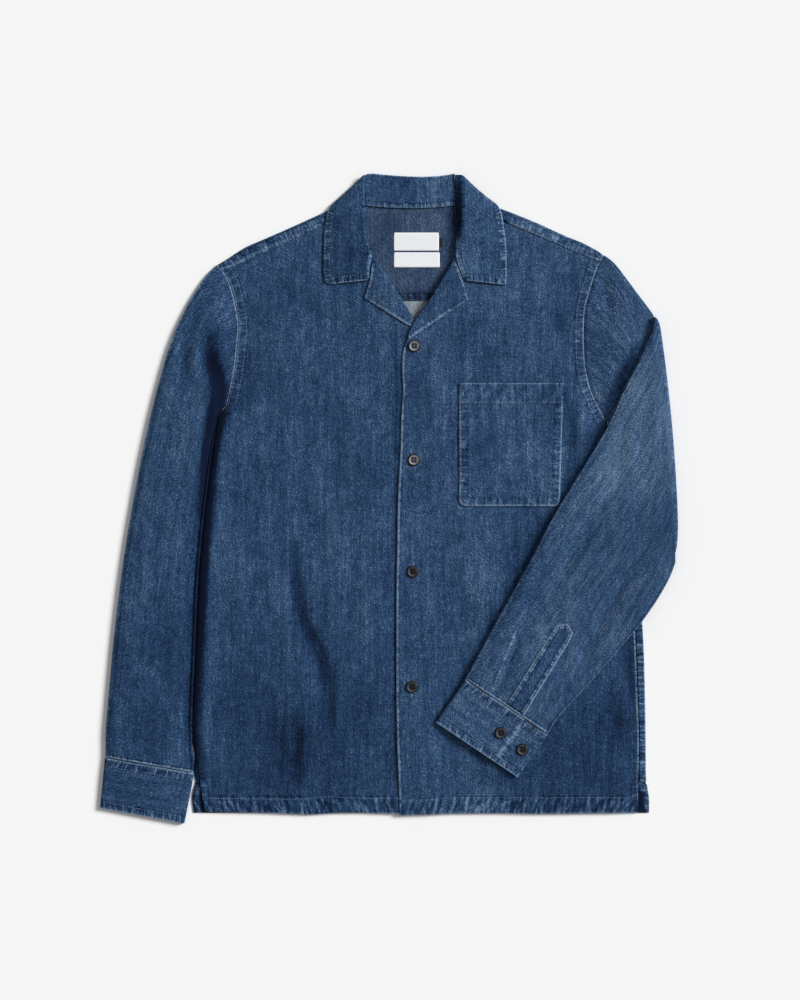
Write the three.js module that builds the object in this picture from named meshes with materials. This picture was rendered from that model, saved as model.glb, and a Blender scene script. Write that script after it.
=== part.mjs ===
// A long sleeved denim shirt with a camp collar, laid flat with its left sleeve folded over the front.
// Millimetres. X runs across from the centre front, Y up from the hem and Z off the table under the shirt.
// Right and left are the wearer's: the right side lies at negative X.
import * as THREE from 'three';

const CLOTH = 1.2; // wall of one layer of denim
const SEAM = 0.3; // space between two pieces that are sewn or lie together
const DOUBLE = 1.5; // wall of a faced piece: collar and cuffs
const LABEL = 0.5; // wall of a woven label
const LAYER = CLOTH + SEAM; // height that one layer takes in the stack
const FRONT_REST = LAYER; // underside of a front where it lies on the back
const SWELL = 1.7; // height that the fronts stand off the back in mid panel
const FRONT_SPACE = 0.1; // extra space over the fronts' cloth, for what lies on them
const OVERLAP_LIFT = LAYER + FRONT_SPACE; // rise of the left front over the right front's edge
const YOKE_SEAM_Y = 615; // seam between yoke and back panel
const NECK_LIFT = 1.6; // rise of the yoke over the collar's turned under fall
const SIDE_TURN = LAYER + CLOTH; // height of a turned edge: two layers and the space between
const ARMHOLE_SPACE = 0.6; // space across an armhole seam, measured along X
const FOLD_HEIGHT = 5; // height of the axis that the left sleeve folds round
const UPPER_ARM = 4.6; // height of the flattened left upper arm
const FOREARM_SWELL = 1.4; // height that the forearm's middle adds to it
const BUTTON_RADIUS = 7;
const BUTTON_HEIGHT = 2.6;
const BUTTON_HOLE_RADIUS = 1;
const BUTTON_HOLE_SPACING = 3.4;

const DENIM = 0x3a5a85;
const DENIM_INSIDE = 0x8f9fae;
const BUTTON_BROWN = 0x4a4038;
const LABEL_WHITE = 0xe9ecf0;
const LABEL_BLACK = 0x15171c;

// Armhole seams, from the shoulder down to the underarm.
const ARMHOLE_RIGHT = [
  { x: -234, y: 658 }, { x: -225, y: 646 }, { x: -218, y: 630 }, { x: -213, y: 610 },
  { x: -209, y: 585 }, { x: -211, y: 559 }, { x: -214, y: 532 }, { x: -218, y: 511 }, { x: -223, y: 490 },
];
const ARMHOLE_LEFT = [
  { x: 229, y: 669 }, { x: 223, y: 659 }, { x: 215, y: 636 }, { x: 207, y: 608 },
  { x: 205, y: 584 }, { x: 205, y: 559 }, { x: 207, y: 534 }, { x: 213, y: 508 }, { x: 230, y: 472 },
];

// Fronts, a row for each section from the hem up: the side edge and the centre edge.
const FRONT_RIGHT = [
  { sideX: -250, sideY: 2, edgeX: 16, edgeY: -1 },
  { sideX: -255, sideY: 34, edgeX: 16, edgeY: 34 },
  { sideX: -259, sideY: 60, edgeX: 16, edgeY: 60 },
  { sideX: -264.4, sideY: 95, edgeX: 16, edgeY: 95 },
  { sideX: -262.9, sideY: 145, edgeX: 16, edgeY: 145 },
  { sideX: -260.2, sideY: 203, edgeX: 16, edgeY: 203 },
  { sideX: -258, sideY: 261, edgeX: 16, edgeY: 261 },
  { sideX: -253.8, sideY: 319, edgeX: 16, edgeY: 319 },
  { sideX: -247, sideY: 383, edgeX: 16, edgeY: 383 },
  { sideX: -240.8, sideY: 431, edgeX: 16, edgeY: 435 },
  { sideX: -234.8, sideY: 470, edgeX: 16, edgeY: 475 },
  { sideX: -229.4, sideY: 482, edgeX: 16, edgeY: 492 },
  { sideX: -223, sideY: 489.5, edgeX: 16, edgeY: 508 },
  { sideX: -218, sideY: 511, edgeX: 16, edgeY: 532 },
  { sideX: -214, sideY: 532, edgeX: 13, edgeY: 560 },
  { sideX: -211, sideY: 559, edgeX: 6, edgeY: 580 },
  { sideX: -209, sideY: 585, edgeX: -2, edgeY: 597 },
  { sideX: -213, sideY: 610, edgeX: -12, edgeY: 614 },
  { sideX: -218, sideY: 630, edgeX: -33, edgeY: 646 },
  { sideX: -222, sideY: 639, edgeX: -47, edgeY: 667 },
  { sideX: -226, sideY: 647, edgeX: -75, edgeY: 690 },
  { sideX: -228, sideY: 650, edgeX: -103, edgeY: 707 },
];
const FRONT_LEFT = [
  { sideX: 270, sideY: 1, edgeX: -16, edgeY: -2 },
  { sideX: 270, sideY: 34, edgeX: -17, edgeY: 34 },
  { sideX: 271, sideY: 87, edgeX: -19, edgeY: 87 },
  { sideX: 269, sideY: 145, edgeX: -20, edgeY: 145 },
  { sideX: 267, sideY: 203, edgeX: -20, edgeY: 203 },
  { sideX: 264, sideY: 261, edgeX: -20, edgeY: 261 },
  { sideX: 259, sideY: 319, edgeX: -19, edgeY: 319 },
  { sideX: 253, sideY: 383, edgeX: -18, edgeY: 377 },
  { sideX: 241, sideY: 431, edgeX: -15, edgeY: 435 },
  { sideX: 231.5, sideY: 457, edgeX: -14, edgeY: 475 },
  { sideX: 230, sideY: 472, edgeX: -12, edgeY: 505 },
  { sideX: 222, sideY: 488, edgeX: -13, edgeY: 532 },
  { sideX: 213, sideY: 508, edgeX: -12, edgeY: 552 },
  { sideX: 207, sideY: 534, edgeX: -7, edgeY: 572 },
  { sideX: 205, sideY: 559, edgeX: 0, edgeY: 589 },
  { sideX: 205, sideY: 584, edgeX: 9, edgeY: 601 },
  { sideX: 207, sideY: 608, edgeX: 20, edgeY: 616 },
  { sideX: 215, sideY: 636, edgeX: 38, edgeY: 645 },
  { sideX: 219, sideY: 648, edgeX: 51, edgeY: 667 },
  { sideX: 222, sideY: 656, edgeX: 78, edgeY: 691 },
  { sideX: 224, sideY: 660, edgeX: 107, edgeY: 709 },
];

// Roll lines of the neck opening, with the height that the fronts rise to along them.
const ROLL_RIGHT = [
  { x: -47, y: 667, rise: 3.4 }, { x: -12, y: 614, rise: 3.2 }, { x: 1, y: 590, rise: 1.2 },
];
const ROLL_LEFT = [
  { x: 51, y: 667, rise: 3.6 }, { x: 20, y: 616, rise: 3.3 },
  { x: 0, y: 589, rise: 1.6 }, { x: -12, y: 552, rise: 0.4 },
];
const ROLL_INNER = 11; // the rise keeps its full height this far from the roll line
const ROLL_OUTER = 36; // and is gone at this distance

// Largest folds of the fronts: soft troughs along a few points, deepest in the middle.
const FOLDS = [
  { depth: 1.2, width: 11, path: [[-144, 335], [-141, 261], [-118, 209], [-106, 160], [-99, 107]] },
  { depth: 0.9, width: 9, path: [[-140, 92], [-139, 28]] },
  { depth: 0.8, width: 10, path: [[192, 655], [191, 618]] },
  { depth: 0.9, width: 10, path: [[166, 592], [182, 556]] },
  { depth: 0.9, width: 12, path: [[-196, 622], [-188, 560], [-206, 505]] },
  { depth: 0.9, width: 13, path: [[236, 190], [243, 145], [238, 96]] },
  { depth: 0.8, width: 14, path: [[60, 300], [48, 240], [66, 190]] },
];

// Lapels, a row for each section from the gorge down: the roll line and the outer edge.
const LAPEL_RIGHT = [
  { rollX: -46, rollY: 663, outX: -49, outY: 657 },
  { rollX: -42, rollY: 658, outX: -51.5, outY: 638 },
  { rollX: -37, rollY: 650, outX: -58, outY: 617 },
  { rollX: -25, rollY: 632, outX: -40, outY: 606 },
  { rollX: -13, rollY: 614, outX: -21, outY: 594 },
  { rollX: -4, rollY: 599, outX: -8, outY: 586 },
  { rollX: -1, rollY: 592, outX: -3, outY: 584 },
];
const LAPEL_LEFT = [
  { rollX: 49.5, rollY: 663, outX: 52.5, outY: 657 },
  { rollX: 46, rollY: 658, outX: 59.5, outY: 638 },
  { rollX: 40, rollY: 647, outX: 66, outY: 615 },
  { rollX: 30, rollY: 631, outX: 44, outY: 601 },
  { rollX: 17, rollY: 610, outX: 23, outY: 587 },
  { rollX: 5, rollY: 594, outX: 6, outY: 575.5 },
  { rollX: -2, rollY: 582, outX: -2, outY: 570 },
  { rollX: -6, rollY: 572, outX: -6, outY: 567 },
];

// Yoke, a row for each section along the shoulders: front seam, fold on the shoulder or neck edge.
// A lap of 1 is turned over the shoulder to the front seam, and a lap of 0 lies flat at the neck.
const YOKE = [
  { x: -233.4, fold: 658, seam: 651, lap: 1 },
  { x: -222, fold: 665, seam: 654, lap: 1 },
  { x: -200, fold: 679, seam: 665, lap: 1 },
  { x: -177, fold: 689, seam: 676, lap: 1 },
  { x: -143, fold: 704, seam: 691, lap: 1 },
  { x: -110, fold: 719, seam: 706, lap: 1 },
  { x: -92, fold: 727, seam: 722, lap: 0 },
  { x: -58, fold: 727, seam: 722, lap: 0 },
  { x: -30, fold: 725, seam: 720, lap: 0 },
  { x: 0, fold: 724, seam: 719, lap: 0 },
  { x: 30, fold: 725, seam: 720, lap: 0 },
  { x: 58, fold: 727, seam: 722, lap: 0 },
  { x: 94, fold: 728, seam: 723, lap: 0 },
  { x: 112, fold: 722.5, seam: 709, lap: 1 },
  { x: 148, fold: 708, seam: 693, lap: 1 },
  { x: 181, fold: 693, seam: 678.5, lap: 1 },
  { x: 203, fold: 684, seam: 669.5, lap: 1 },
  { x: 220, fold: 675, seam: 663.4, lap: 1 },
  { x: 228.4, fold: 669, seam: 661.2, lap: 1 },
];
const YOKE_INSIDE = [
  { y: YOKE_SEAM_Y, left: -26, right: 30 },
  { y: 640, left: -42, right: 47 },
  { y: 666, left: -60, right: 63 },
  { y: 684, left: -64, right: 64 },
  { y: 705, left: -60, right: 50 },
  { y: 723.5, left: -60, right: 48 },
];

// Back panel, a row for each section from the hem up. The left side turns over to the side seam.
const BACK = [
  { y: 0.5, left: -263, right: 283, seam: 277, lap: 0 },
  { y: 18, left: -263, right: 283, seam: 277, lap: 0 },
  { y: 29, left: -260, right: 281.5, seam: 275.5, lap: 0 },
  { y: 42, left: -256, right: 279.5, seam: 271.5, lap: 1 },
  { y: 60, left: -259, right: 279.3, seam: 271.5, lap: 1 },
  { y: 95, left: -264.4, right: 279, seam: 271.5, lap: 1 },
  { y: 145, left: -262.9, right: 278.2, seam: 269.5, lap: 1 },
  { y: 203, left: -260.2, right: 276.5, seam: 267.5, lap: 1 },
  { y: 261, left: -258, right: 272.5, seam: 264.5, lap: 1 },
  { y: 319, left: -253.8, right: 267.5, seam: 259.5, lap: 1 },
  { y: 383, left: -247, right: 261.5, seam: 253.5, lap: 1 },
  { y: 431, left: -240.8, right: 249, seam: 241.5, lap: 1 },
  { y: 456, left: -236.4, right: 238, seam: 232, lap: 1 },
];

// Right sleeve, a row for each section from the armhole to the cuff: the outer and the underarm fold.
const SLEEVE_RIGHT = [
  { outX: -234, outY: 658, inX: -223, inY: 490, height: SIDE_TURN },
  { outX: -250, outY: 641, inX: -230, inY: 483, height: 4 },
  { outX: -271, outY: 607, inX: -236, inY: 471, height: 5 },
  { outX: -289, outY: 568, inX: -239, inY: 451, height: 5.6 },
  { outX: -302.6, outY: 523, inX: -242, inY: 431, height: 6 },
  { outX: -314.6, outY: 476, inX: -246, inY: 400, height: 6.2 },
  { outX: -326, outY: 424, inX: -251, inY: 362, height: 6.2 },
  { outX: -335, outY: 376, inX: -255, inY: 319, height: 6.2 },
  { outX: -343.2, outY: 328, inX: -259, inY: 280, height: 6.2 },
  { outX: -350.2, outY: 280, inX: -260, inY: 240, height: 6.2 },
  { outX: -358.4, outY: 211, inX: -262, inY: 185, height: 6.2 },
  { outX: -364.2, outY: 148, inX: -265, inY: 130, height: 6.2 },
  { outX: -368.2, outY: 100, inX: -266, inY: 80, height: 6.2 },
  { outX: -368.5, outY: 68, inX: -264.5, inY: 49.5, height: 6 },
];
// Left upper arm from the armhole to its fold, and the forearm from the fold to the cuff.
const UPPER_ARM_LEFT = [
  { outX: 229, outY: 669, inX: 230, inY: 472 },
  { outX: 241, outY: 659.5, inX: 244, inY: 459 },
  { outX: 256.6, outY: 639.6, inX: 262, inY: 434 },
  { outX: 271.6, outY: 619.6, inX: 286, inY: 390 },
  { outX: 284, outY: 600, inX: 306, inY: 335 },
];
const FOLD_LEFT = { outX: 286.5, outY: 590, inX: 311, inY: 316 };
const FOREARM_LEFT = [
  { outX: 284, outY: 574, inX: 313, inY: 291, swell: 0.5 },
  { outX: 272, outY: 545, inX: 301.5, inY: 267.5, swell: 1 },
  { outX: 252, outY: 506, inX: 286, inY: 245, swell: FOREARM_SWELL },
  { outX: 234, outY: 466, inX: 270, inY: 225, swell: FOREARM_SWELL },
  { outX: 213, outY: 430, inX: 254, inY: 206, swell: FOREARM_SWELL },
  { outX: 189, outY: 391, inX: 238, inY: 187, swell: FOREARM_SWELL },
  { outX: 165, outY: 351, inX: 222, inY: 169, swell: FOREARM_SWELL },
  { outX: 146, outY: 314, inX: 207, inY: 152, swell: FOREARM_SWELL },
  { outX: 123, outY: 272, inX: 192, inY: 136, swell: FOREARM_SWELL },
  { outX: 101, outY: 233, inX: 179, inY: 122, swell: FOREARM_SWELL },
  { outX: 81, outY: 196, inX: 170, inY: 110, swell: FOREARM_SWELL },
  { outX: 62.5, outY: 162, inX: 161.5, inY: 96, swell: 1 },
];
const FOLD_ROOM = 0.8; // a forearm fold goes no deeper than its row's swell and this
const FOREARM_BEND_BOW = 6; // the folded edge bows out this far from a straight line

// Folds of the sleeves, each a trough at a place across that moves along the sleeve's sections.
const SLEEVE_RIGHT_FOLDS = [
  { depth: 1.8, width: 0.06, path: [[1, 0.12], [3, 0.28], [5, 0.4], [8, 0.5]] },
  { depth: 2.6, width: 0.07, path: [[0.7, 0.62], [2, 0.72], [3.2, 0.84], [5, 0.97]] },
  { depth: 1, width: 0.08, path: [[7, 0.62], [10, 0.5], [12.5, 0.36]] },
];
const UPPER_ARM_FOLDS = [
  { depth: 1.1, width: 0.06, path: [[0.6, 0.22], [2.4, 0.4]] },
  { depth: 1, width: 0.06, path: [[0.6, 0.7], [2.6, 0.6], [4, 0.62]] },
];
const FOREARM_FOLDS = [
  { depth: 1.2, width: 0.06, path: [[2, 0.3], [5, 0.24], [8, 0.22], [10.6, 0.26]] },
  { depth: 1, width: 0.06, path: [[1, 0.62], [4, 0.7], [8, 0.84], [10.6, 0.86]] },
];

// Cuffs, from the sleeve seam to the wrist edge.
const CUFF_RIGHT = [
  { outX: -369.3, outY: 66.7, inX: -262.6, inY: 48.4, height: 5.8 },
  { outX: -371.2, outY: 46, inX: -266, inY: 27.5, height: 6.2 },
  { outX: -373.2, outY: 26, inX: -270, inY: 8, height: 6 },
  { outX: -375, outY: 7, inX: -274, inY: -12, height: 5.6 },
];
const CUFF_LEFT = [
  { outX: 62, outY: 161.4, inX: 161.2, inY: 95.3 },
  { outX: 51, outY: 144, inX: 149.6, inY: 78 },
  { outX: 39, outY: 127, inX: 137.4, inY: 61 },
  { outX: 27, outY: 110, inX: 125, inY: 44 },
];
const CUFF_OVERLAP = 0.72; // place across the cuff of the buttoned end
const CUFF_UNDERLAP = 0.5; // place across the cuff of the end beneath it

// Placket on the forearm, a row for each section from the cuff up to its blunt point.
const PLACKET = [
  { leftX: 113, leftY: 133.8, rightX: 132.5, rightY: 118 },
  { leftX: 129, leftY: 159.4, rightX: 149.5, rightY: 146.4 },
  { leftX: 146, leftY: 186.6, rightX: 166.7, rightY: 174.4 },
  { leftX: 163, leftY: 213.8, rightX: 184, rightY: 202.4 },
  { leftX: 171.5, leftY: 226.5, rightX: 191, rightY: 214.5 },
  { leftX: 174.5, leftY: 228.4, rightX: 188.5, rightY: 222 },
];

// Places across a collar leaf, from the roll to the outer edge.
const LEAF_PLACES = [0.12, 0.3, 0.5, 0.7, 0.88, 1];
// Collar leaves, a row for each section from the top of the neck to the point. An edge value is the height of
// the turned edge above the table, and a row without one rests on the front.
const LEAF_RIGHT = [
  { seamX: -57.2, rollX: -58.4, rollY: 765, outX: -62, outY: 762.5, rise: 4.6, edge: 0.1 },
  { seamX: -57.2, rollX: -59, rollY: 752, outX: -74, outY: 751, rise: 7.4, edge: 0.1 },
  { seamX: -57.2, rollX: -59, rollY: 740, outX: -87, outY: 739, rise: 8.6, edge: 0.3 },
  { seamX: -57.2, rollX: -59, rollY: 729, outX: -98, outY: 728.6, rise: 9.4, edge: 0.8 },
  { seamX: -57.2, rollX: -59, rollY: 716, outX: -103, outY: 718, rise: 9.6, edge: 2.9 },
  { seamX: -57, rollX: -58.5, rollY: 702, outX: -105.5, outY: 702, rise: 9.4, edge: 0 },
  { seamX: -55, rollX: -57, rollY: 688, outX: -106.5, outY: 686, rise: 8.8, edge: 0 },
  { seamX: -50.5, rollX: -52.5, rollY: 677, outX: -107, outY: 670, rise: 8.6, edge: 0 },
  { seamX: -49.4, rollX: -50.4, rollY: 667.5, outX: -107, outY: 657, rise: 8.4, edge: 0 },
  { seamX: -51.6, rollX: -52.6, rollY: 655, outX: -106.6, outY: 646, rise: 7.8, edge: 0 },
  { seamX: -52.4, rollX: -53.4, rollY: 643, outX: -105, outY: 638, rise: 7.4, edge: 0 },
  { seamX: -53.4, rollX: -54.4, rollY: 638.4, outX: -100, outY: 634, rise: 7, edge: 0 },
];
const LEAF_LEFT = [
  { seamX: 50, rollX: 58, rollY: 765, outX: 62.5, outY: 762.5, rise: 6, edge: 0.1 },
  { seamX: 50, rollX: 59, rollY: 752, outX: 74.5, outY: 751, rise: 9.6, edge: 0.1 },
  { seamX: 50, rollX: 59, rollY: 740, outX: 88, outY: 739.5, rise: 11.4, edge: 0.3 },
  { seamX: 50, rollX: 59, rollY: 729, outX: 101, outY: 729, rise: 12.4, edge: 0.8 },
  { seamX: 51, rollX: 58.5, rollY: 716, outX: 106.5, outY: 718, rise: 12.6, edge: 2.9 },
  { seamX: 51, rollX: 58.3, rollY: 702, outX: 109, outY: 702, rise: 12.2, edge: 0 },
  { seamX: 51.4, rollX: 57.5, rollY: 688, outX: 111, outY: 686, rise: 11, edge: 0 },
  { seamX: 51, rollX: 54.5, rollY: 677, outX: 111.8, outY: 672, rise: 9.8, edge: 0 },
  { seamX: 51.6, rollX: 53, rollY: 667.5, outX: 112, outY: 659, rise: 8.8, edge: 0 },
  { seamX: 55, rollX: 56, rollY: 655, outX: 112, outY: 648, rise: 8.2, edge: 0 },
  { seamX: 59, rollX: 60, rollY: 645, outX: 111.7, outY: 640, rise: 7.6, edge: 0 },
  { seamX: 61.4, rollX: 62.4, rollY: 638.4, outX: 111, outY: 633, rise: 7.2, edge: 0 },
];

// Collar at the back of the neck, a row for each section across: the folded top edge and the neck seam.
const COLLAR_BACK = [
  { x: -56.6, fold: 766, seam: 728.6 },
  { x: -49, fold: 767, seam: 727.4 },
  { x: -33, fold: 765.5, seam: 726 },
  { x: -14, fold: 764, seam: 725.2 },
  { x: 6, fold: 763.3, seam: 725 },
  { x: 24, fold: 763.6, seam: 725.8 },
  { x: 38, fold: 765, seam: 727 },
  { x: 49.2, fold: 767, seam: 728.6 },
];
const COLLAR_FALL_Y = 716; // hidden edge of the fall, under the yoke
const COLLAR_HEIGHT = 4.8; // height of the flattened collar at its fold

const POCKET = [
  { y: 368.4, left: 72, right: 168 },
  { y: 372, left: 56, right: 175 },
  { y: 402, left: 55.6, right: 176.6 },
  { y: 438, left: 55.3, right: 177.8 },
  { y: 474, left: 55, right: 178.8 },
  { y: 491, left: 55, right: 179.4 },
  { y: 515.5, left: 55, right: 180 },
];
const LABELS = [
  { name: 'label_main', left: -23, right: 31, bottom: 674.2, top: 696, color: LABEL_WHITE },
  { name: 'label_care', left: -23, right: 32, bottom: 654.4, top: 672.4, color: LABEL_WHITE },
  { name: 'label_size', left: 31.4, right: 35.2, bottom: 679, top: 689, color: LABEL_BLACK },
];
const FRONT_BUTTONS = [{ x: 1.5, y: 560.5 }, { x: 1, y: 424 }, { x: 0, y: 290 }, { x: -1, y: 152 }];
const CUFF_BUTTONS = [{ x: 105, y: 96, level: 10.8 }, { x: 130, y: 76.5, level: 9 }];

// The middle of the shirt's outline, which becomes the origin.
const CENTRE = { x: -29.3, y: 377.5 };

const clamp01 = (value) => Math.min(1, Math.max(0, value));
const smoothstep = (value) => clamp01(value) ** 2 * (3 - 2 * clamp01(value));
const mix = (a, b, t) => a + (b - a) * t;
// Fractions from 0 to 1 in equal steps.
const evenly = (count) => Array.from({ length: count + 1 }, (_, k) => k / count);

// The row of a table at a place between two rows, on a smooth curve through them all.
function rowAt(table, place) {
  const last = table.length - 1;
  const k = Math.min(last - 1, Math.max(0, Math.floor(place)));
  const t = place - k;
  const [a, b, c, d] = [Math.max(0, k - 1), k, k + 1, Math.min(last, k + 2)].map((n) => table[n]);
  const curve = (p, q, r, s) =>
    q + 0.5 * t * (r - p + t * (2 * p - 5 * q + 4 * r - s + t * (3 * (q - r) + s - p)));
  return Object.fromEntries(Object.keys(b).map((key) => [key, curve(a[key], b[key], c[key], d[key])]));
}

// The rows of a table with steps of them in each interval.
function refine(table, steps) {
  const count = (table.length - 1) * steps;
  return Array.from({ length: count + 1 }, (_, n) => rowAt(table, n / steps));
}

// X on a table of x and y at a height, straight between its points, which run down.
function xAtHeight(table, y) {
  for (let k = 1; k < table.length; k += 1) {
    const [upper, lower] = [table[k - 1], table[k]];
    if (y >= lower.y) {
      return mix(lower.x, upper.x, clamp01((y - lower.y) / (upper.y - lower.y)));
    }
  }
  return table.at(-1).x;
}

// Distance from a point to a path of [x, y] points, and how far along the path it is, from 0 to 1.
function nearest(path, x, y) {
  let best = { distance: Infinity, along: 0 };
  for (let k = 1; k < path.length; k += 1) {
    const [ax, ay] = path[k - 1];
    const [bx, by] = path[k];
    const length = Math.hypot(bx - ax, by - ay);
    const t = clamp01(((x - ax) * (bx - ax) + (y - ay) * (by - ay)) / length ** 2);
    const distance = Math.hypot(x - mix(ax, bx, t), y - mix(ay, by, t));
    if (distance < best.distance) {
      best = { distance, along: (k - 1 + t) / (path.length - 1) };
    }
  }
  return best;
}

// Depth of all the troughs of a list at a place.
function troughs(folds, x, y) {
  let depth = 0;
  for (const fold of folds) {
    const { distance, along } = nearest(fold.path, x, y);
    const taper = 0.35 + 0.65 * Math.sin(Math.PI * along);
    depth += fold.depth * taper * Math.exp(-((distance / fold.width) ** 2));
  }
  return depth;
}

// Height that a front rises by near the roll line of its neck opening.
function rollRise(roll, x, y) {
  const { distance, along } = nearest(roll.map((point) => [point.x, point.y]), x, y);
  const { rise } = rowAt(roll, along * (roll.length - 1));
  return rise * (1 - smoothstep((distance - ROLL_INNER) / (ROLL_OUTER - ROLL_INNER)));
}

// Underside of the cloth of both fronts, before the roll lines and the overlap.
function frontGround(x, y) {
  const fromRight = smoothstep((x + 250) / 60);
  const fromLeft = smoothstep((268 - x) / 60);
  const fromHem = mix(0.35, 1, smoothstep(y / 70));
  const shoulder = YOKE_SEAM_Y + 35 + 0.3 * (160 - Math.abs(x));
  const fromShoulder = smoothstep((shoulder - y) / 60);
  const swell = SWELL * fromRight * fromLeft * fromHem * fromShoulder;
  return FRONT_REST + yokeUnder(x, y) + Math.max(0, swell - troughs(FOLDS, x, y));
}

const frontRightUnder = (x, y) => frontGround(x, y) + rollRise(ROLL_RIGHT, x, y);

function frontLeftUnder(x, y) {
  const reach = mix(18, -20, smoothstep((y - 555) / 60));
  const over = OVERLAP_LIFT * (1 - smoothstep((x - reach) / 26));
  const plain = frontGround(x, y) + rollRise(ROLL_LEFT, x, y);
  const onRight = frontRightUnder(x, y) + OVERLAP_LIFT;
  return x < reach ? Math.max(plain, onRight) : plain + over;
}

// Underside of the yoke, raised at the neck where the collar's fall lies beneath it.
function yokeUnder(x, y) {
  const across = smoothstep((100 - Math.abs(x)) / 28);
  return NECK_LIFT * across * smoothstep((y - 660) / 52);
}

// A closed wall between two grids of points. A grid's rows may close on themselves.
function wall(outer, inner, ring = false) {
  const rows = outer.length;
  const columns = outer[0].length;
  const position = [...outer.flat(), ...inner.flat()].flat();
  const out = (i, j) => i * columns + (j % columns);
  const under = (i, j) => rows * columns + out(i, j);
  const index = [];
  const quad = (a, b, c, d) => index.push(a, b, c, a, c, d);
  const steps = ring ? columns : columns - 1;
  for (let i = 0; i + 1 < rows; i += 1) {
    for (let j = 0; j < steps; j += 1) {
      quad(out(i, j), out(i, j + 1), out(i + 1, j + 1), out(i + 1, j));
      quad(under(i, j), under(i + 1, j), under(i + 1, j + 1), under(i, j + 1));
    }
    if (!ring) {
      quad(out(i, 0), out(i + 1, 0), under(i + 1, 0), under(i, 0));
      quad(out(i + 1, steps), out(i, steps), under(i, steps), under(i + 1, steps));
    }
  }
  for (let j = 0; j < steps; j += 1) {
    quad(out(0, j + 1), out(0, j), under(0, j), under(0, j + 1));
    quad(out(rows - 1, j), out(rows - 1, j + 1), under(rows - 1, j + 1), under(rows - 1, j));
  }
  const geometry = new THREE.BufferGeometry();
  geometry.setAttribute('position', new THREE.Float32BufferAttribute(position, 3));
  geometry.setIndex(volume(position, index) < 0 ? index.reverse() : index);
  geometry.computeVertexNormals();
  return geometry;
}

// Signed volume of a triangle mesh, negative where its faces point in.
function volume(position, index) {
  const corner = (n) => new THREE.Vector3().fromArray(position, index[n] * 3);
  let total = 0;
  for (let n = 0; n < index.length; n += 3) {
    total += corner(n).dot(corner(n + 1).cross(corner(n + 2)));
  }
  return total / 6;
}

// Cloth that lies flat: rows of a start and an end point in plan, and a function for its underside.
function panel(rows, across, under, thickness = CLOTH) {
  const plan = rows.map(({ from, to }) =>
    across.map((s) => [mix(from[0], to[0], s), mix(from[1], to[1], s)]));
  const lower = plan.map((row) => row.map(([x, y]) => [x, y, under(x, y)]));
  const upper = lower.map((row) => row.map(([x, y, z]) => [x, y, z + thickness]));
  return wall(upper, lower);
}

// The inner side of a bent wall: each point of a chain of [along, height] moved to the chain's right.
function thicken(chain, thickness) {
  return chain.map((point, k) => {
    const before = chain[Math.max(0, k - 1)];
    const after = chain[Math.min(chain.length - 1, k + 1)];
    const [da, dz] = [after[0] - before[0], after[1] - before[1]];
    const length = Math.hypot(da, dz);
    return [point[0] + (dz / length) * thickness, point[1] - (da / length) * thickness];
  });
}

// Points of a half turn of cloth, from the top round to the underside, about a middle.
function halfTurn(along, height, radius, way, steps = 4) {
  return evenly(steps).map((t) => {
    const angle = Math.PI * t;
    return [along + way * radius * Math.sin(angle), height + radius * Math.cos(angle)];
  });
}

function frontRows(table) {
  const inset = (x) => x - Math.sign(x) * SEAM;
  return table.map((row) => ({ from: [inset(row.sideX), row.sideY], to: [row.edgeX, row.edgeY] }));
}

function makeFrontRight() {
  return panel(frontRows(refine(FRONT_RIGHT, 1)), evenly(20), frontRightUnder);
}

function makeFrontLeft() {
  return panel(frontRows(refine(FRONT_LEFT, 1)), evenly(21), frontLeftUnder);
}

// The turned back upper part of a front, on top of it.
function makeLapel(table, frontUnder) {
  const rows = refine(table, 2).map((row) => ({ from: [row.rollX, row.rollY], to: [row.outX, row.outY] }));
  return panel(rows, evenly(4), (x, y) => frontUnder(x, y) + LAYER + FRONT_SPACE);
}

// The back: flat from side to side, then round the left side and up onto the front, down to the vent.
function makeBack() {
  const radius = SIDE_TURN / 2;
  const armholeRows = evenly(5).map((t) => {
    const y = mix(478, YOKE_SEAM_Y - SEAM, t);
    const right = xAtHeight(ARMHOLE_LEFT, y);
    return { y, left: xAtHeight(ARMHOLE_RIGHT, y), right, seam: right - 6, lap: 0 };
  });
  const sections = [...BACK, ...armholeRows].map((row) => {
    const edge = row.right - radius;
    const flat = evenly(5).map((t) => [mix(row.left, edge - 3, t), 0]);
    const turned = [...halfTurn(edge, radius, radius, 1, 2).reverse(), [row.seam, SIDE_TURN]];
    const plain = turned.map((_, k) => [mix(edge - 1.5, row.right, k / (turned.length - 1)), 0]);
    const outer = [...flat, ...(row.lap ? turned : plain)];
    return { y: row.y, outer, inner: thicken(outer, -CLOTH) };
  });
  const place = (side) => sections.map((row) => row[side].map(([x, z]) => [x, row.y, z]));
  return wall(place('outer'), place('inner'));
}

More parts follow.
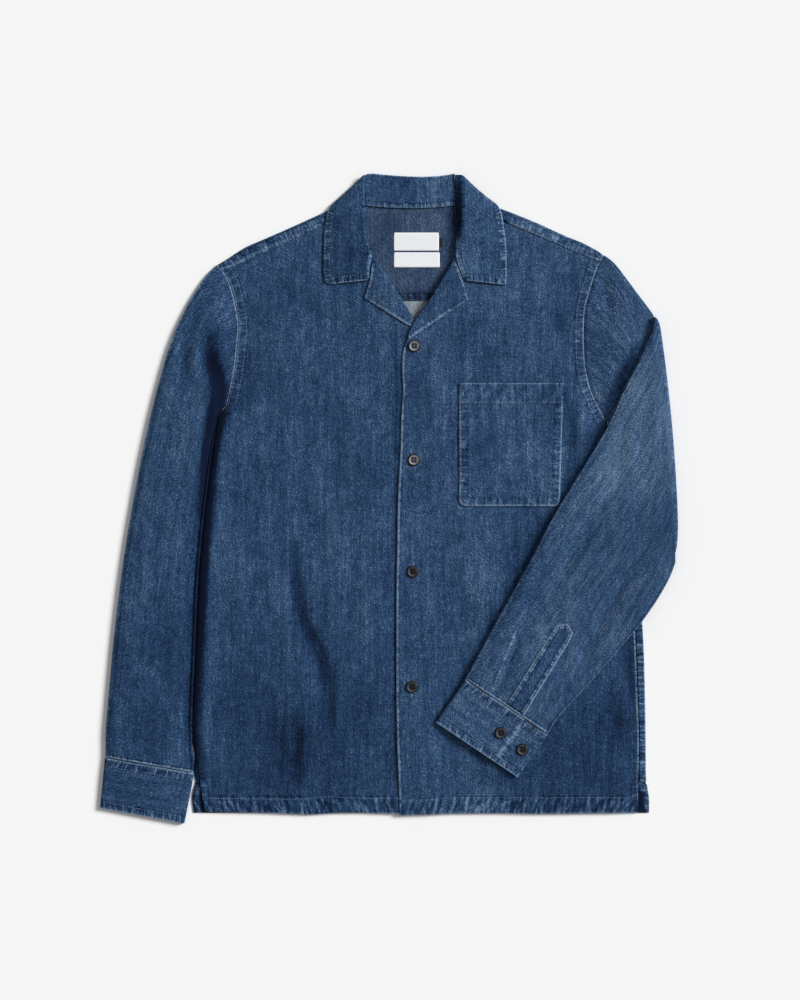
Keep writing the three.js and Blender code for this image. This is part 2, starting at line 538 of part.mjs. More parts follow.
// The outer yoke: from its front seams over the shoulders, or from the neck, down the back to its seam.
function makeYoke() {
  const radius = SIDE_TURN / 2;
  const [first, last] = [YOKE[0].x, YOKE.at(-1).x];
  const sections = YOKE.map((row) => {
    const edge = row.fold - radius;
    const lap = [[row.seam + SEAM, SIDE_TURN], ...halfTurn(edge, radius, radius, 1, 2)];
    const flat = lap.map((_, k) => [mix(row.fold, edge - 1, k / (lap.length - 1)), 0]);
    const down = evenly(6).map((t) => [mix(edge - 4, YOKE_SEAM_Y, t), 0]);
    const outer = [...(row.lap ? lap : flat), ...down];
    return { q: (row.x - first) / (last - first), outer, inner: thicken(outer, CLOTH) };
  });
  const at = ({ q }, [y, z]) => {
    const low = Math.min(y, 669);
    const right = y > 658 ? first : xAtHeight(ARMHOLE_RIGHT, low);
    const left = xAtHeight(ARMHOLE_LEFT, low);
    const x = mix(right, Math.min(left, last), q);
    return [x, y, z + yokeUnder(x, y)];
  };
  const place = (side) => sections.map((row) => row[side].map((point) => at(row, point)));
  return wall(place('outer'), place('inner'));
}

const insideUnder = (x, y) => yokeUnder(x, y) + LAYER;

function makeYokeInside() {
  const rows = refine(YOKE_INSIDE, 2).map(({ y, left, right }) => ({ from: [left, y], to: [right, y] }));
  return panel(rows, evenly(6), insideUnder);
}

const SLEEVE_TOP = 9; // steps across the top of a sleeve
const SLEEVE_BOTTOM = 4; // steps across its underside
const RING_END = [1 / 3, 2 / 3]; // places of the points round each flattened end

// A ring of a flattened tube of cloth: its points across and up, over the top, an end, the underside, an end.
function flatRing(height, top, thickness, width) {
  const radius = height / 2;
  const over = evenly(SLEEVE_TOP).map((s, k) => [mix(radius, width - radius, s), height + top[k]]);
  const nearEnd = RING_END.map((t) => [
    width - radius + radius * Math.sin(Math.PI * t), radius + radius * Math.cos(Math.PI * t)]);
  const below = evenly(SLEEVE_BOTTOM).map((s) => [mix(width - radius, radius, s), 0]);
  const farEnd = RING_END.map((t) => [
    radius - radius * Math.sin(Math.PI * t), radius - radius * Math.cos(Math.PI * t)]);
  const outer = [...over, ...nearEnd, ...below, ...farEnd];
  const shrink = (radius - thickness) / radius;
  const inner = outer.map(([a, z], k) => {
    if (k < over.length) {
      return [a, Math.max(z - thickness, thickness + SEAM)];
    }
    const middle = a > width / 2 ? width - radius : radius;
    const isEnd = a > width - radius || a < radius;
    return isEnd ? [middle + (a - middle) * shrink, radius + (z - radius) * shrink] : [a, thickness];
  });
  return { outer, inner };
}

// How far a seam's curve leaves the straight line between its ends, at a fraction along it.
function bowOf(curve, s) {
  const point = rowAt(curve, s * (curve.length - 1));
  const [first, last] = [curve[0], curve.at(-1)];
  return [point.x - mix(first.x, last.x, s), point.y - mix(first.y, last.y, s)];
}

// Share of a fold's depth that is left at a place across a sleeve, less at the edges.
const edgeFade = (s) => Math.sin(Math.PI * mix(0.06, 0.94, s)) ** 0.5;

// Heights that the folds take off the top of a sleeve at a section.
const foldedTop = (folds, place) => evenly(SLEEVE_TOP).map((s) => -troughs(folds, place, s) * edgeFade(s));
const PLAIN_TOP = evenly(SLEEVE_TOP).map(() => 0);

// A flattened ring of cloth laid along the line between two points of a section.
function layRing(row, ring, bow, height) {
  const width = Math.hypot(row.inX - row.outX, row.inY - row.outY);
  const put = ([a, z]) => {
    const s = a / width;
    const [bx, by] = bow(s);
    return [mix(row.outX, row.inX, s) + bx, mix(row.outY, row.inY, s) + by, height(z)];
  };
  return { outer: ring.outer.map(put), inner: ring.inner.map(put) };
}

const sectionWidth = (row) => Math.hypot(row.inX - row.outX, row.inY - row.outY);

// The share of the armhole's curve that is left at the first sections of a sleeve.
const ARMHOLE_SHARES = [1, 0.72, 0.42, 0.2, 0.06, 0];

function armholeBow(curve, place, space) {
  const k = Math.min(Math.floor(place), ARMHOLE_SHARES.length - 2);
  const share = mix(ARMHOLE_SHARES[k], ARMHOLE_SHARES[k + 1], Math.min(1, place - k));
  return (s) => bowOf(curve, clamp01(s)).map((value, axis) => share * value + (axis ? 0 : space));
}

function makeSleeveRight() {
  const steps = 2;
  const rings = refine(SLEEVE_RIGHT, steps).map((row, n) => {
    const place = n / steps;
    const bow = armholeBow(ARMHOLE_RIGHT, place, place < 2 ? -ARMHOLE_SPACE : 0);
    const top = foldedTop(SLEEVE_RIGHT_FOLDS, place).map((z) => Math.max(z, SIDE_TURN - row.height));
    return layRing(row, flatRing(row.height, top, CLOTH, sectionWidth(row)), bow, (z) => z);
  });
  return wall(rings.map((ring) => ring.outer), rings.map((ring) => ring.inner), true);
}

// How far the folded edge of the left sleeve bows out at a fraction along it.
const foldBow = (s) => FOREARM_BEND_BOW * 4 * clamp01(s) * (1 - clamp01(s));

function upperArmRings() {
  const steps = 2;
  return refine(UPPER_ARM_LEFT, steps).map((row, n) => {
    const place = n / steps;
    const height = mix(SIDE_TURN, UPPER_ARM, smoothstep(place / 2));
    const top = foldedTop(UPPER_ARM_FOLDS, place).map((z) => Math.max(z, SIDE_TURN - height));
    const armBow = armholeBow(ARMHOLE_LEFT, place, ARMHOLE_SPACE);
    const share = smoothstep((place - 1.5) / 3);
    const bow = (s) => [armBow(s)[0] + share * foldBow(s), armBow(s)[1]];
    return layRing(row, flatRing(height, top, CLOTH, sectionWidth(row)), bow, (z) => z);
  });
}

// The half turn round the fold: the ring at the fold, swung from the table over onto the upper arm.
function bendRings() {
  const ring = flatRing(UPPER_ARM, PLAIN_TOP, CLOTH, sectionWidth(FOLD_LEFT));
  const flat = layRing(FOLD_LEFT, ring, (s) => [foldBow(s), 0], (z) => z);
  return evenly(6).map((t) => {
    const angle = Math.PI * t;
    const turn = ([x, y, z]) => [
      x + (FOLD_HEIGHT - z) * Math.sin(angle), y, FOLD_HEIGHT - (FOLD_HEIGHT - z) * Math.cos(angle)];
    return { outer: flat.outer.map(turn), inner: flat.inner.map(turn) };
  });
}

// The forearm lies turned over on the upper arm, so the ring's underside is its top and takes the folds.
function forearmRings() {
  return FOREARM_LEFT.map((row, place) => {
    const ring = flatRing(UPPER_ARM + row.swell, PLAIN_TOP, CLOTH, sectionWidth(row));
    const share = 1 - smoothstep(place / 3);
    const laid = layRing(row, ring, (s) => [share * foldBow(s), 0], (z) => 2 * FOLD_HEIGHT + row.swell - z);
    const first = SLEEVE_TOP + 1 + RING_END.length;
    for (let k = 0; k <= SLEEVE_BOTTOM; k += 1) {
      const depth = forearmFold(place, 1 - k / SLEEVE_BOTTOM);
      laid.outer[first + k][2] -= depth;
      laid.inner[first + k][2] = Math.max(laid.inner[first + k][2] - depth, laid.inner[0][2] + SEAM);
    }
    return laid;
  });
}

// Depth of the forearm's folds at a place along and across, no deeper than the hollow beneath.
function forearmFold(place, s) {
  const { swell } = rowAt(FOREARM_LEFT, place);
  const depth = troughs(FOREARM_FOLDS, place, s) * edgeFade(s);
  return Math.min(depth, swell + FOLD_ROOM);
}

// The left sleeve: flattened upper arm, the turn at its fold, and the forearm on top.
function makeSleeveLeft() {
  const rings = [...upperArmRings(), ...bendRings(), ...forearmRings()];
  return wall(rings.map((ring) => ring.outer), rings.map((ring) => ring.inner), true);
}

function makeCuffRight() {
  const rings = CUFF_RIGHT.map((row) =>
    layRing(row, flatRing(row.height, PLAIN_TOP, DOUBLE, sectionWidth(row)), () => [0, 0], (z) => z));
  return wall(rings.map((ring) => ring.outer), rings.map((ring) => ring.inner), true);
}

// The left cuff: a band whose ends overlap on top, round both flattened edges.
function makeCuffLeft() {
  const floor = 2 * FOLD_HEIGHT - UPPER_ARM;
  const lap = DOUBLE + SEAM;
  const sections = CUFF_LEFT.map((row) => {
    const width = sectionWidth(row);
    const high = floor + 2 * lap + DOUBLE;
    const middle = floor + lap + DOUBLE;
    const outRadius = (high - floor) / 2;
    const inRadius = (middle - floor) / 2;
    const overlap = evenly(6).map((t) => [mix(CUFF_OVERLAP * width, outRadius + 2, t), high]);
    const outEdge = halfTurn(outRadius, floor + outRadius, outRadius, -1);
    const under = evenly(6).slice(1, -1).map((t) => [mix(outRadius, width - inRadius, t), floor]);
    const inEdge = halfTurn(width - inRadius, floor + inRadius, inRadius, 1).reverse();
    const underlap = evenly(4).slice(1).map((t) => [mix(width - inRadius, CUFF_UNDERLAP * width, t), middle]);
    const outer = [...overlap, ...outEdge, ...under, ...inEdge, ...underlap];
    const inner = thicken(outer, -DOUBLE);
    const put = ([a, z]) => [mix(row.outX, row.inX, a / width), mix(row.outY, row.inY, a / width), z];
    return { outer: outer.map(put), inner: inner.map(put) };
  });
  return wall(sections.map((row) => row.outer), sections.map((row) => row.inner));
}

// The strip over the left sleeve's opening, flat on top of the forearm.
function makePlacket() {
  const rows = PLACKET.map((row) => ({ from: [row.leftX, row.leftY], to: [row.rightX, row.rightY] }));
  return panel(rows, evenly(3), () => 2 * FOLD_HEIGHT + FOREARM_SWELL + SEAM);
}

// A collar leaf: up from the neck seam, over the roll and down to its outer edge.
function makeLeaf(table, frontUnder) {
  const onFront = (x, y) => frontUnder(x, y) + LAYER + DOUBLE + 0.25;
  const sections = table.map((row) => {
    const way = Math.sign(row.outX);
    const width = Math.abs(row.outX - row.rollX);
    const stand = Math.abs(row.rollX - row.seamX);
    const seamHeight = row.rollY > 690 ? NECK_LIFT + 2 * LAYER + DOUBLE + 0.2 : onFront(row.seamX, row.rollY);
    const crest = Math.max(row.rise, seamHeight + 0.5);
    const rest = row.edge ? DOUBLE + row.edge : onFront(row.outX, row.outY);
    const round = Math.min(1.6, width * 0.3);
    const chain = [[-stand, seamHeight], [-stand * 0.5, mix(seamHeight, crest, 0.6)], [0, crest - 0.3]];
    chain.push([round, crest]);
    for (const t of LEAF_PLACES) {
      const drop = row.edge ? 1 - Math.sqrt(1 - 0.98 * t ** 2) : t;
      chain.push([mix(round, width, t), mix(crest, rest, drop)]);
    }
    const put = ([a, z]) => {
      const s = Math.max(0, a / width);
      return [row.rollX + way * a, mix(row.rollY, row.outY, s), Math.max(z, 0)];
    };
    return { outer: chain.map(put), inner: thicken(chain, DOUBLE).map(put) };
  });
  return wall(sections.map((row) => row.outer), sections.map((row) => row.inner));
}

// The collar at the back of the neck: from the neck seam up to the fold, and its fall under the yoke.
function makeCollarBack() {
  const radius = COLLAR_HEIGHT / 2;
  const sections = refine(COLLAR_BACK, 1).map((row) => {
    const edge = row.fold - radius;
    const stand = [
      [row.seam, NECK_LIFT + LAYER + DOUBLE], [mix(row.seam, edge, 0.33), COLLAR_HEIGHT + 0.5],
      [mix(row.seam, edge, 0.7), COLLAR_HEIGHT + 0.3]];
    const fall = [[edge - 8, 0], [mix(edge, COLLAR_FALL_Y, 0.6), 0], [COLLAR_FALL_Y, 0]];
    const outer = [...stand, ...halfTurn(edge, radius, radius, 1, 6), ...fall];
    return { x: row.x, outer, inner: thicken(outer, DOUBLE - 0.2) };
  });
  const place = (side) => sections.map((row) => row[side].map(([y, z]) => [row.x, y, z]));
  return wall(place('outer'), place('inner'));
}

function makePocket() {
  const rows = POCKET.map(({ y, left, right }) => ({ from: [left, y], to: [right, y] }));
  return panel(rows, evenly(7), (x, y) => frontLeftUnder(x, y) + LAYER + FRONT_SPACE);
}

function makeLabel({ left, right, bottom, top }) {
  const rows = evenly(2).map((t) => mix(bottom, top, t)).map((y) => ({ from: [left, y], to: [right, y] }));
  return panel(rows, evenly(2), (x, y) => insideUnder(x, y) + CLOTH + SEAM, LABEL);
}

// A round button with four holes.
function makeButton() {
  const disc = new THREE.Shape().absarc(0, 0, BUTTON_RADIUS, 0, 2 * Math.PI);
  const offset = BUTTON_HOLE_SPACING / 2;
  for (const [sx, sy] of [[1, 1], [-1, 1], [-1, -1], [1, -1]]) {
    const hole = new THREE.Path().absarc(sx * offset, sy * offset, BUTTON_HOLE_RADIUS, 0, 2 * Math.PI);
    disc.holes.push(hole);
  }
  return new THREE.ExtrudeGeometry(disc, { depth: BUTTON_HEIGHT, curveSegments: 5, bevelEnabled: false });
}

function cloth(color, roughness = 0.92) {
  return new THREE.MeshStandardMaterial({ color, roughness, metalness: 0 });
}

const shirt = new THREE.Group();

function add(name, geometry, material) {
  const mesh = new THREE.Mesh(geometry, material);
  mesh.name = name;
  shirt.add(mesh);
  return mesh;
}

add('back_panel', makeBack(), cloth(DENIM_INSIDE));
add('yoke_outer', makeYoke(), cloth(DENIM));
add('yoke_inner', makeYokeInside(), cloth(DENIM));
add('front_right', makeFrontRight(), cloth(DENIM));
add('front_left', makeFrontLeft(), cloth(DENIM));
add('lapel_right', makeLapel(LAPEL_RIGHT, frontRightUnder), cloth(DENIM));
add('lapel_left', makeLapel(LAPEL_LEFT, frontLeftUnder), cloth(DENIM));
add('collar_back', makeCollarBack(), cloth(DENIM));
add('collar_leaf_right', makeLeaf(LEAF_RIGHT, frontRightUnder), cloth(DENIM));
add('collar_leaf_left', makeLeaf(LEAF_LEFT, frontLeftUnder), cloth(DENIM));
add('sleeve_right', makeSleeveRight(), cloth(DENIM));
add('sleeve_left', makeSleeveLeft(), cloth(DENIM));
add('cuff_right', makeCuffRight(), cloth(DENIM));
add('cuff_left', makeCuffLeft(), cloth(DENIM));
add('sleeve_placket_left', makePlacket(), cloth(DENIM));
add('pocket', makePocket(), cloth(DENIM));
for (const label of LABELS) {
  add(label.name, makeLabel(label), cloth(label.color, 0.6));
}
FRONT_BUTTONS.forEach(({ x, y }, n) => {
  const reach = [-1, 0, 1].flatMap((i) => [-1, 0, 1].map((j) => [x + i * 5, y + j * 5]));
  const level = Math.max(...reach.map(([px, py]) => frontLeftUnder(px, py))) + CLOTH + SEAM;
  add(`button_front_${n + 1}`, makeButton(), cloth(BUTTON_BROWN, 0.35)).position.set(x, y, level);
});
CUFF_BUTTONS.forEach(({ x, y, level }, n) => {
  add(`button_cuff_${n + 1}`, makeButton(), cloth(BUTTON_BROWN, 0.35)).position.set(x, y, level);
});

shirt.position.set(-CENTRE.x, -CENTRE.y, 0);

export default shirt;
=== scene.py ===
"""A washed denim overshirt with a camp collar, laid flat with its left sleeve folded over the front."""
import math

import bmesh
import bpy
import numpy as np
from mathutils.bvhtree import BVHTree
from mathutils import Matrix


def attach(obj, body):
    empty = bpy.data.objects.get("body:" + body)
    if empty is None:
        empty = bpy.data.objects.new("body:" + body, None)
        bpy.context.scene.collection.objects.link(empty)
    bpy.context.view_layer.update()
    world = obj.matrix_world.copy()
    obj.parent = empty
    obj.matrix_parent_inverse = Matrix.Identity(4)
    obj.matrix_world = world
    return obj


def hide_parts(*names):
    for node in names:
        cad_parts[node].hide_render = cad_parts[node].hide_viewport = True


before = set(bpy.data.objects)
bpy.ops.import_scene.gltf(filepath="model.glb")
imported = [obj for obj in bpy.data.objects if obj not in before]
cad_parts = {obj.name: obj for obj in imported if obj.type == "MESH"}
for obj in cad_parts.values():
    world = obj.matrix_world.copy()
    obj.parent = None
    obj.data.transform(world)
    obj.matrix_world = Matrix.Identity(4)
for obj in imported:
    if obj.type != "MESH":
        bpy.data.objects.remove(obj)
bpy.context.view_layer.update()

# Sizes in millimetres. X runs across from the centre front, Y up from the hem and Z off the table.
# Right and left are the wearer's: the right side lies at negative X.
CENTRE_X = -29.3
CENTRE_Y = 377.5
MM = 0.001

CLOTH = 1.2
SEAM = 0.3
DOUBLE = 1.5
LABEL = 0.5
LAYER = CLOTH + SEAM
SWELL = 2.9  # height that the fronts stand off the back
FOREARM_LIFT = 1.5  # the forearm lies this much higher over the fuller front
SIDE_ROLL = 12  # distance over which the front's right side rolls down beside the sleeve
SIDE_PUFF = 1.7  # and how much fuller it is there
SIDE_CLOSE = 0.8  # and how much further it reaches, up to the sleeve
SLEEVE_ROLL = 15  # distance over which a sleeve's top rolls down to its folded edges
OVERLAP_LIFT = LAYER + 0.1
YOKE_SEAM_Y = 615
NECK_LIFT = 1.6
SIDE_TURN = LAYER + CLOTH
ARMHOLE_SPACE = 0.3
ARMHOLE_SHARES = np.array([1, 0.72, 0.42, 0.2, 0.06, 0, 0])  # how a sleeve's sections follow the armhole
FOLD_HEIGHT = 5
UPPER_ARM = 4.6
HEM_DEPTH = 19
HEM_WAVE_RIGHT = ((-250, 0), (-180, 0), (-125, -1.8), (-92, 0.6), (-60, 1.2), (-20, 0.2))
HEM_WAVE_LEFT = ((-16, 0), (12, 0.6), (55, 1.4), (110, 1.2), (150, 0), (270, 0))
HEM_STITCHES_RIGHT = ((-248, 18), (-140, 17), (-100, 20), (-50, 18), (-24, 19))
HEM_STITCHES_LEFT = ((-14, 16), (14, 16.5), (44, 19), (132, 19), (262, 19))
SLIT_TOP = 38  # the vents' slits are painted dark below this, as shade; SLIT_SHADE says how dark
SLIT_SHADE = 0.9
NECK_BOTTOM = 500  # the back shows its wrong side above this
COLLAR_OVER = 1.3  # the collar's seam lies this much higher, over the inner yoke's edge
BUTTON_RADIUS = 7.4
BUTTON_HEIGHT = 2.6
BUTTON_HOLE_RADIUS = 0.95
BUTTON_HOLE_SPACING = 3.4
GRID = 2.6  # spacing of the mesh over the large pieces
ARM_POINTS = 56  # points across a sleeve's top
ARM_END_POINTS = 6  # and round each of its folded edges
ARM_LOW_POINTS = 18  # and underneath, where nothing shows
RING_COUNTS = (ARM_POINTS, ARM_END_POINTS, ARM_LOW_POINTS)
ROW_STEP = 42.0  # millimetres of cloth between the rows of a sleeve's table
UPPER_STEP = 17.0
SLEEVE_SIDES = (("out_x", "out_y"), ("in_x", "in_y"))
FOLD_STEPS = 14
STITCH_PITCH = 3.3
STITCH_LENGTH = 2.3
THREAD_RADIUS = 0.26
FAR = 50.0  # a distance from any seam that leaves the cloth plain
TWILL_ANGLE = math.radians(57)

# The camera looks straight down on PHOTO_MIDDLE and takes in PHOTO_HEIGHT metres. LENS and SENSOR are
# its millimetres.
PHOTO_MIDDLE = (-15.6, 375.6)
PHOTO_HEIGHT = 1.2
LENS = 85.0
SENSOR = 36.0
SUN_AZIMUTH = math.radians(24)
SUN_HEIGHT = math.radians(31)
SUN_SIZE = math.radians(20)
SUN_STRENGTH = 4.08
SKY_STRENGTH = 0.32


def table(names, *rows):
    """Named columns of a table that has a row for each section."""
    return dict(zip(names.split(), np.array(rows, dtype=float).T))


ARMHOLE_RIGHT = table(
    "x y",
    (-234, 658), (-225, 646), (-218, 630), (-213, 610), (-209, 585),
    (-211, 559), (-214, 532), (-218, 511), (-223, 490),
)
ARMHOLE_LEFT = table(
    "x y",
    (229, 669), (223, 659), (215, 636), (207, 608), (205, 584),
    (205, 559), (207, 534), (213, 508), (230, 472),
)
FRONT_RIGHT = table(
    "side_x side_y edge_x edge_y",
    (-250, 2, 16, -1), (-255, 34, 16, 34), (-259, 60, 16, 60), (-264.4, 95, 16, 95), (-262.9, 145, 16, 145),
    (-260.2, 203, 16, 203), (-258, 261, 16, 261), (-253.8, 319, 16, 319), (-247, 383, 16, 383),
    (-240.8, 431, 16, 435), (-234.8, 470, 16, 475), (-229.4, 482, 16, 492), (-223, 489.5, 16, 508),
    (-218, 511, 16, 532), (-214, 532, 13, 560),
    (-211, 559, 6, 580), (-209, 585, -2, 597), (-213, 610, -12, 614), (-218, 630, -33, 646),
    (-222, 639, -47, 667), (-226, 647, -75, 690), (-228, 650, -103, 707),
)
FRONT_LEFT = table(
    "side_x side_y edge_x edge_y",
    (270, 1, -16, -2), (270, 34, -17, 34), (271, 87, -19, 87), (269, 145, -20, 145), (267, 203, -20, 203),
    (264, 261, -20, 261), (259, 319, -19, 319), (253, 383, -18, 377), (241, 431, -15, 435),
    (231.5, 457, -14, 475), (230, 472, -12, 505), (222, 488, -13, 532), (213, 508, -12, 552),
    (207, 534, -7, 572), (205, 559, 0, 589), (205, 584, 9, 601), (207, 608, 20, 616),
    (215, 636, 38, 645), (219, 648, 51, 667), (222, 656, 78, 691), (224, 660, 107, 709),
)
ROLL_RIGHT = table("x y rise", (-47, 667, 3.4), (-12, 614, 3.2), (1, 590, 1.2))
ROLL_LEFT = table("x y rise", (51, 667, 3.6), (20, 616, 3.3), (0, 589, 1.6), (-12, 552, 0.4))
ROLL_INNER = 11
ROLL_OUTER = 36
LAPEL_RIGHT = table(
    "roll_x roll_y out_x out_y",
    (-46, 663, -49, 657), (-42, 658, -51.5, 638), (-37, 650, -58, 617), (-25, 632, -40, 606),
    (-13, 614, -21, 594), (-4, 599, -8, 586), (-1, 592, -3, 584),
)
LAPEL_LEFT = table(
    "roll_x roll_y out_x out_y",
    (49.5, 663, 52.5, 657), (46, 658, 59.5, 638), (40, 647, 66, 615), (30, 631, 44, 601),
    (17, 610, 23, 587), (5, 594, 6, 575.5), (-2, 582, -2, 570), (-6, 572, -6, 567),
)
YOKE = table(
    "x fold seam lap",
    (-233.4, 658, 651, 1), (-222, 665, 654, 1), (-200, 679, 665, 1), (-177, 689, 676, 1),
    (-143, 704, 691, 1), (-110, 719, 706, 1), (-92, 727, 722, 0), (-58, 727, 722, 0), (-30, 725, 720, 0),
    (0, 724, 719, 0), (30, 725, 720, 0), (58, 727, 722, 0), (94, 728, 723, 0), (112, 722.5, 709, 1),
    (148, 708, 693, 1), (181, 693, 678.5, 1), (203, 684, 669.5, 1), (220, 675, 663.4, 1),
    (228.4, 669, 661.2, 1),
)
YOKE_INSIDE = table(
    "y left right",
    (YOKE_SEAM_Y, -26, 30), (640, -42, 47), (666, -60, 63), (684, -64, 64), (705, -60, 50), (728, -60, 48),
)
BACK = table(
    "y left right seam lap",
    (0.5, -263, 283, 277, 0), (18, -265, 283, 277, 0), (29, -262.6, 281.5, 275.5, 0),
    (42, -257, 279.5, 271.5, 1), (60, -259, 279.3, 271.5, 1), (95, -264.4, 279, 271.5, 1),
    (145, -262.9, 278.2, 269.5, 1), (203, -260.2, 276.5, 267.5, 1), (261, -258, 272.5, 264.5, 1),
    (319, -253.8, 267.5, 259.5, 1), (383, -247, 261.5, 253.5, 1), (431, -240.8, 249, 241.5, 1),
    (456, -236.4, 238, 232, 1),
)
SLEEVE_RIGHT = table(
    "out_x out_y in_x in_y height",
    (-234, 658, -223, 490, SIDE_TURN), (-250, 641, -229.6, 482.4, 4), (-271, 607, -235.3, 470.6, 5),
    (-289, 568, -238.2, 450.7, 5.6), (-302.6, 523, -241.3, 431, 6), (-314.6, 476, -245.3, 400, 6.2),
    (-326, 424, -249.9, 362, 6.2), (-335, 376, -254.4, 319, 6.2), (-343.2, 328, -257.5, 280, 6.2),
    (-350.2, 280, -259.4, 240, 6.2), (-358.4, 211, -261.6, 185, 6.2), (-364.2, 148, -264.2, 130, 6.2),
    (-368.2, 100, -264.6, 80, 6.2), (-368.4, 82, -262.4, 64, 6.1), (-368.5, 68, -263.6, 49.5, 6),
)
UPPER_ARM_LEFT = table(
    "out_x out_y in_x in_y",
    (229, 669, 230, 472), (241, 659.5, 244, 459), (256.6, 639.6, 262, 434), (271.6, 619.6, 286, 390),
    (286.4, 599.8, 306, 335),
)
FOLD_LEFT = table("out_x out_y in_x in_y", (289.4, 594.6, 313.2, 312))
FOREARM_LEFT = table(
    "out_x out_y in_x in_y swell",
    (285.6, 577, 313.6, 300, 0.5), (272, 545, 305.5, 280, 1), (252, 506, 290.5, 254, 1.4),
    (234, 466, 270, 225, 1.4), (213, 430, 254, 206, 1.4), (189, 391, 238, 187, 1.4),
    (165, 351, 222, 169, 1.4), (146, 314, 207, 152, 1.4), (123, 272, 192, 136, 1.4),
    (101, 233, 179, 122, 1.4), (81, 196, 170, 110, 1.4), (62.5, 162, 161.5, 96, 1),
)
FOLD_BOW = 5
CUFF_RIGHT = table(
    "out_x out_y in_x in_y height",
    (-369.3, 66.7, -262.6, 48.4, 5.8), (-371.2, 46, -266, 27.5, 6.2), (-373.2, 26, -270, 8, 6),
    (-375, 7, -274, -12, 5.6),
)
CUFF_LEFT = table(
    "out_x out_y in_x in_y",
    (62, 161.4, 161.2, 95.3), (51, 144, 149.6, 78), (39, 127, 137.4, 61), (27, 110, 125, 44),
)
CUFF_PLACES = np.concatenate([[0, 0.02], np.linspace(0, 3, 34)[1:-1], [2.98, 3]])
CUFF_OVERLAP = 0.72
CUFF_UNDERLAP = 0.5
PLACKET = table(
    "left_x left_y right_x right_y",
    (113, 133.8, 132.5, 118), (129, 159.4, 149.5, 146.4), (146, 186.6, 166.7, 174.4),
    (163, 213.8, 184, 202.4), (171, 226, 191.4, 216.4), (171.8, 226.6, 184.8, 227.4),
)
LEAF_RIGHT = table(
    "seam_x roll_x roll_y out_x out_y rise edge",
    (-57.2, -58.4, 765, -62, 762.5, 4.6, 0.1), (-57.2, -59, 752, -74, 751, 7.4, 0.1),
    (-57.2, -59, 740, -87, 739, 8.6, 0.3), (-57.2, -59, 729, -98, 728.6, 9.4, 0.8),
    (-57.2, -59, 716, -103, 718, 9.6, 2.9), (-57, -58.5, 702, -105.5, 702, 9.4, 0),
    (-55, -57, 688, -106.5, 686, 8.8, 0), (-50.5, -52.5, 677, -107, 670, 8.6, 0),
    (-49.4, -50.4, 667.5, -107, 657, 8.4, 0), (-51.6, -52.6, 655, -106.6, 646, 7.8, 0),
    (-52.4, -53.4, 643, -105, 638, 7.4, 0), (-53.4, -54.4, 638.4, -100, 634, 7, 0),
)
LEAF_LEFT = table(
    "seam_x roll_x roll_y out_x out_y rise edge",
    (50, 58, 765, 62.5, 762.5, 6, 0.1), (50, 59, 752, 74.5, 751, 9.6, 0.1),
    (50, 59, 740, 88, 739.5, 11.4, 0.3), (50, 59, 729, 101, 729, 12.4, 0.8),
    (51, 58.5, 716, 106.5, 718, 12.6, 2.9), (51, 58.3, 702, 109, 702, 12.2, 0),
    (51.4, 57.5, 688, 111, 686, 11, 0), (51, 54.5, 677, 111.8, 672, 9.8, 0),
    (51.6, 53, 667.5, 112, 659, 8.8, 0), (55, 56, 655, 112, 648, 8.2, 0),
    (59, 60, 645, 111.7, 640, 7.6, 0), (61.4, 62.4, 638.4, 111, 633, 7.2, 0),
)
COLLAR_BACK = table(
    "x fold seam",
    (-56.6, 766, 728.6), (-49, 767, 727.4), (-33, 765.5, 726), (-14, 764, 725.2), (6, 763.3, 725),
    (24, 763.6, 725.8), (38, 765, 727), (49.8, 767, 728.6),
)
COLLAR_FALL_Y = 716
COLLAR_HEIGHT = 4.8
POCKET = table(
    "y left right",
    (368.4, 72, 168), (372, 56, 175), (402, 55.6, 176.6), (438, 55.3, 177.8), (474, 55, 178.8),
    (491, 55, 179.4), (515.5, 55, 180),
)
LABELS = {
    "label_main": {"left": -23, "right": 31, "bottom": 674.2, "top": 696},
    "label_care": {"left": -23, "right": 32, "bottom": 654.4, "top": 672.4},
    "label_size": {"left": 31.4, "right": 35.2, "bottom": 679, "top": 689},
}
FRONT_BUTTONS = ((1.5, 560), (1, 423.6), (-0.3, 290), (-1.2, 152))
CUFF_BUTTONS = ((105, 97.3), (131, 77.3))
BUTTONHOLE_ENDS = ((-2.4, 432.5), (0.2, 297.4), (-1.8, 139))

# Creases: the depth of each, negative for a ridge, its width and the points that it follows.
FRONT_CREASES = (
    (4.2, 8, ((-145, 318), (-143, 274), (-133, 232), (-114, 193), (-105, 160), (-101, 106))),
    (3.2, 8, ((-139, 112), (-141, 22))),
    (1.6, 17, ((-186, 148), (-157, 58))),
    (1.1, 10, ((-196, 433), (-180, 385))),
    (1.1, 10, ((-130, 378), (-110, 313))),
    (0.8, 4.5, ((-68, 460), (-70, 304), (-67, 184))),
    (0.9, 8, ((-86, 282), (-74, 196))),
    (1.7, 14, ((-181, 658), (-145, 625), (-94, 584))),
    (2.2, 6, ((191, 668), (194, 612))),
    (2.2, 9, ((167, 612), (184, 556))),
    (1.8, 10, ((187, 498), (190, 406))),
    (-1.5, 7, ((206, 500), (197, 455))),
    (3.4, 8, ((257, 216), (264, 140))),
    (2.0, 13, ((234, 152), (253, 80))),
    (1.4, 9, ((61, 266), (68, 206))),
    (-0.9, 18, ((-205, 300), (-203, 215))),
    (-0.8, 14, ((-160, 300), (-163, 230))),
    (0.8, 12, ((20, 330), (34, 262))),
    (0.9, 11, ((36, 130), (52, 60))),
)
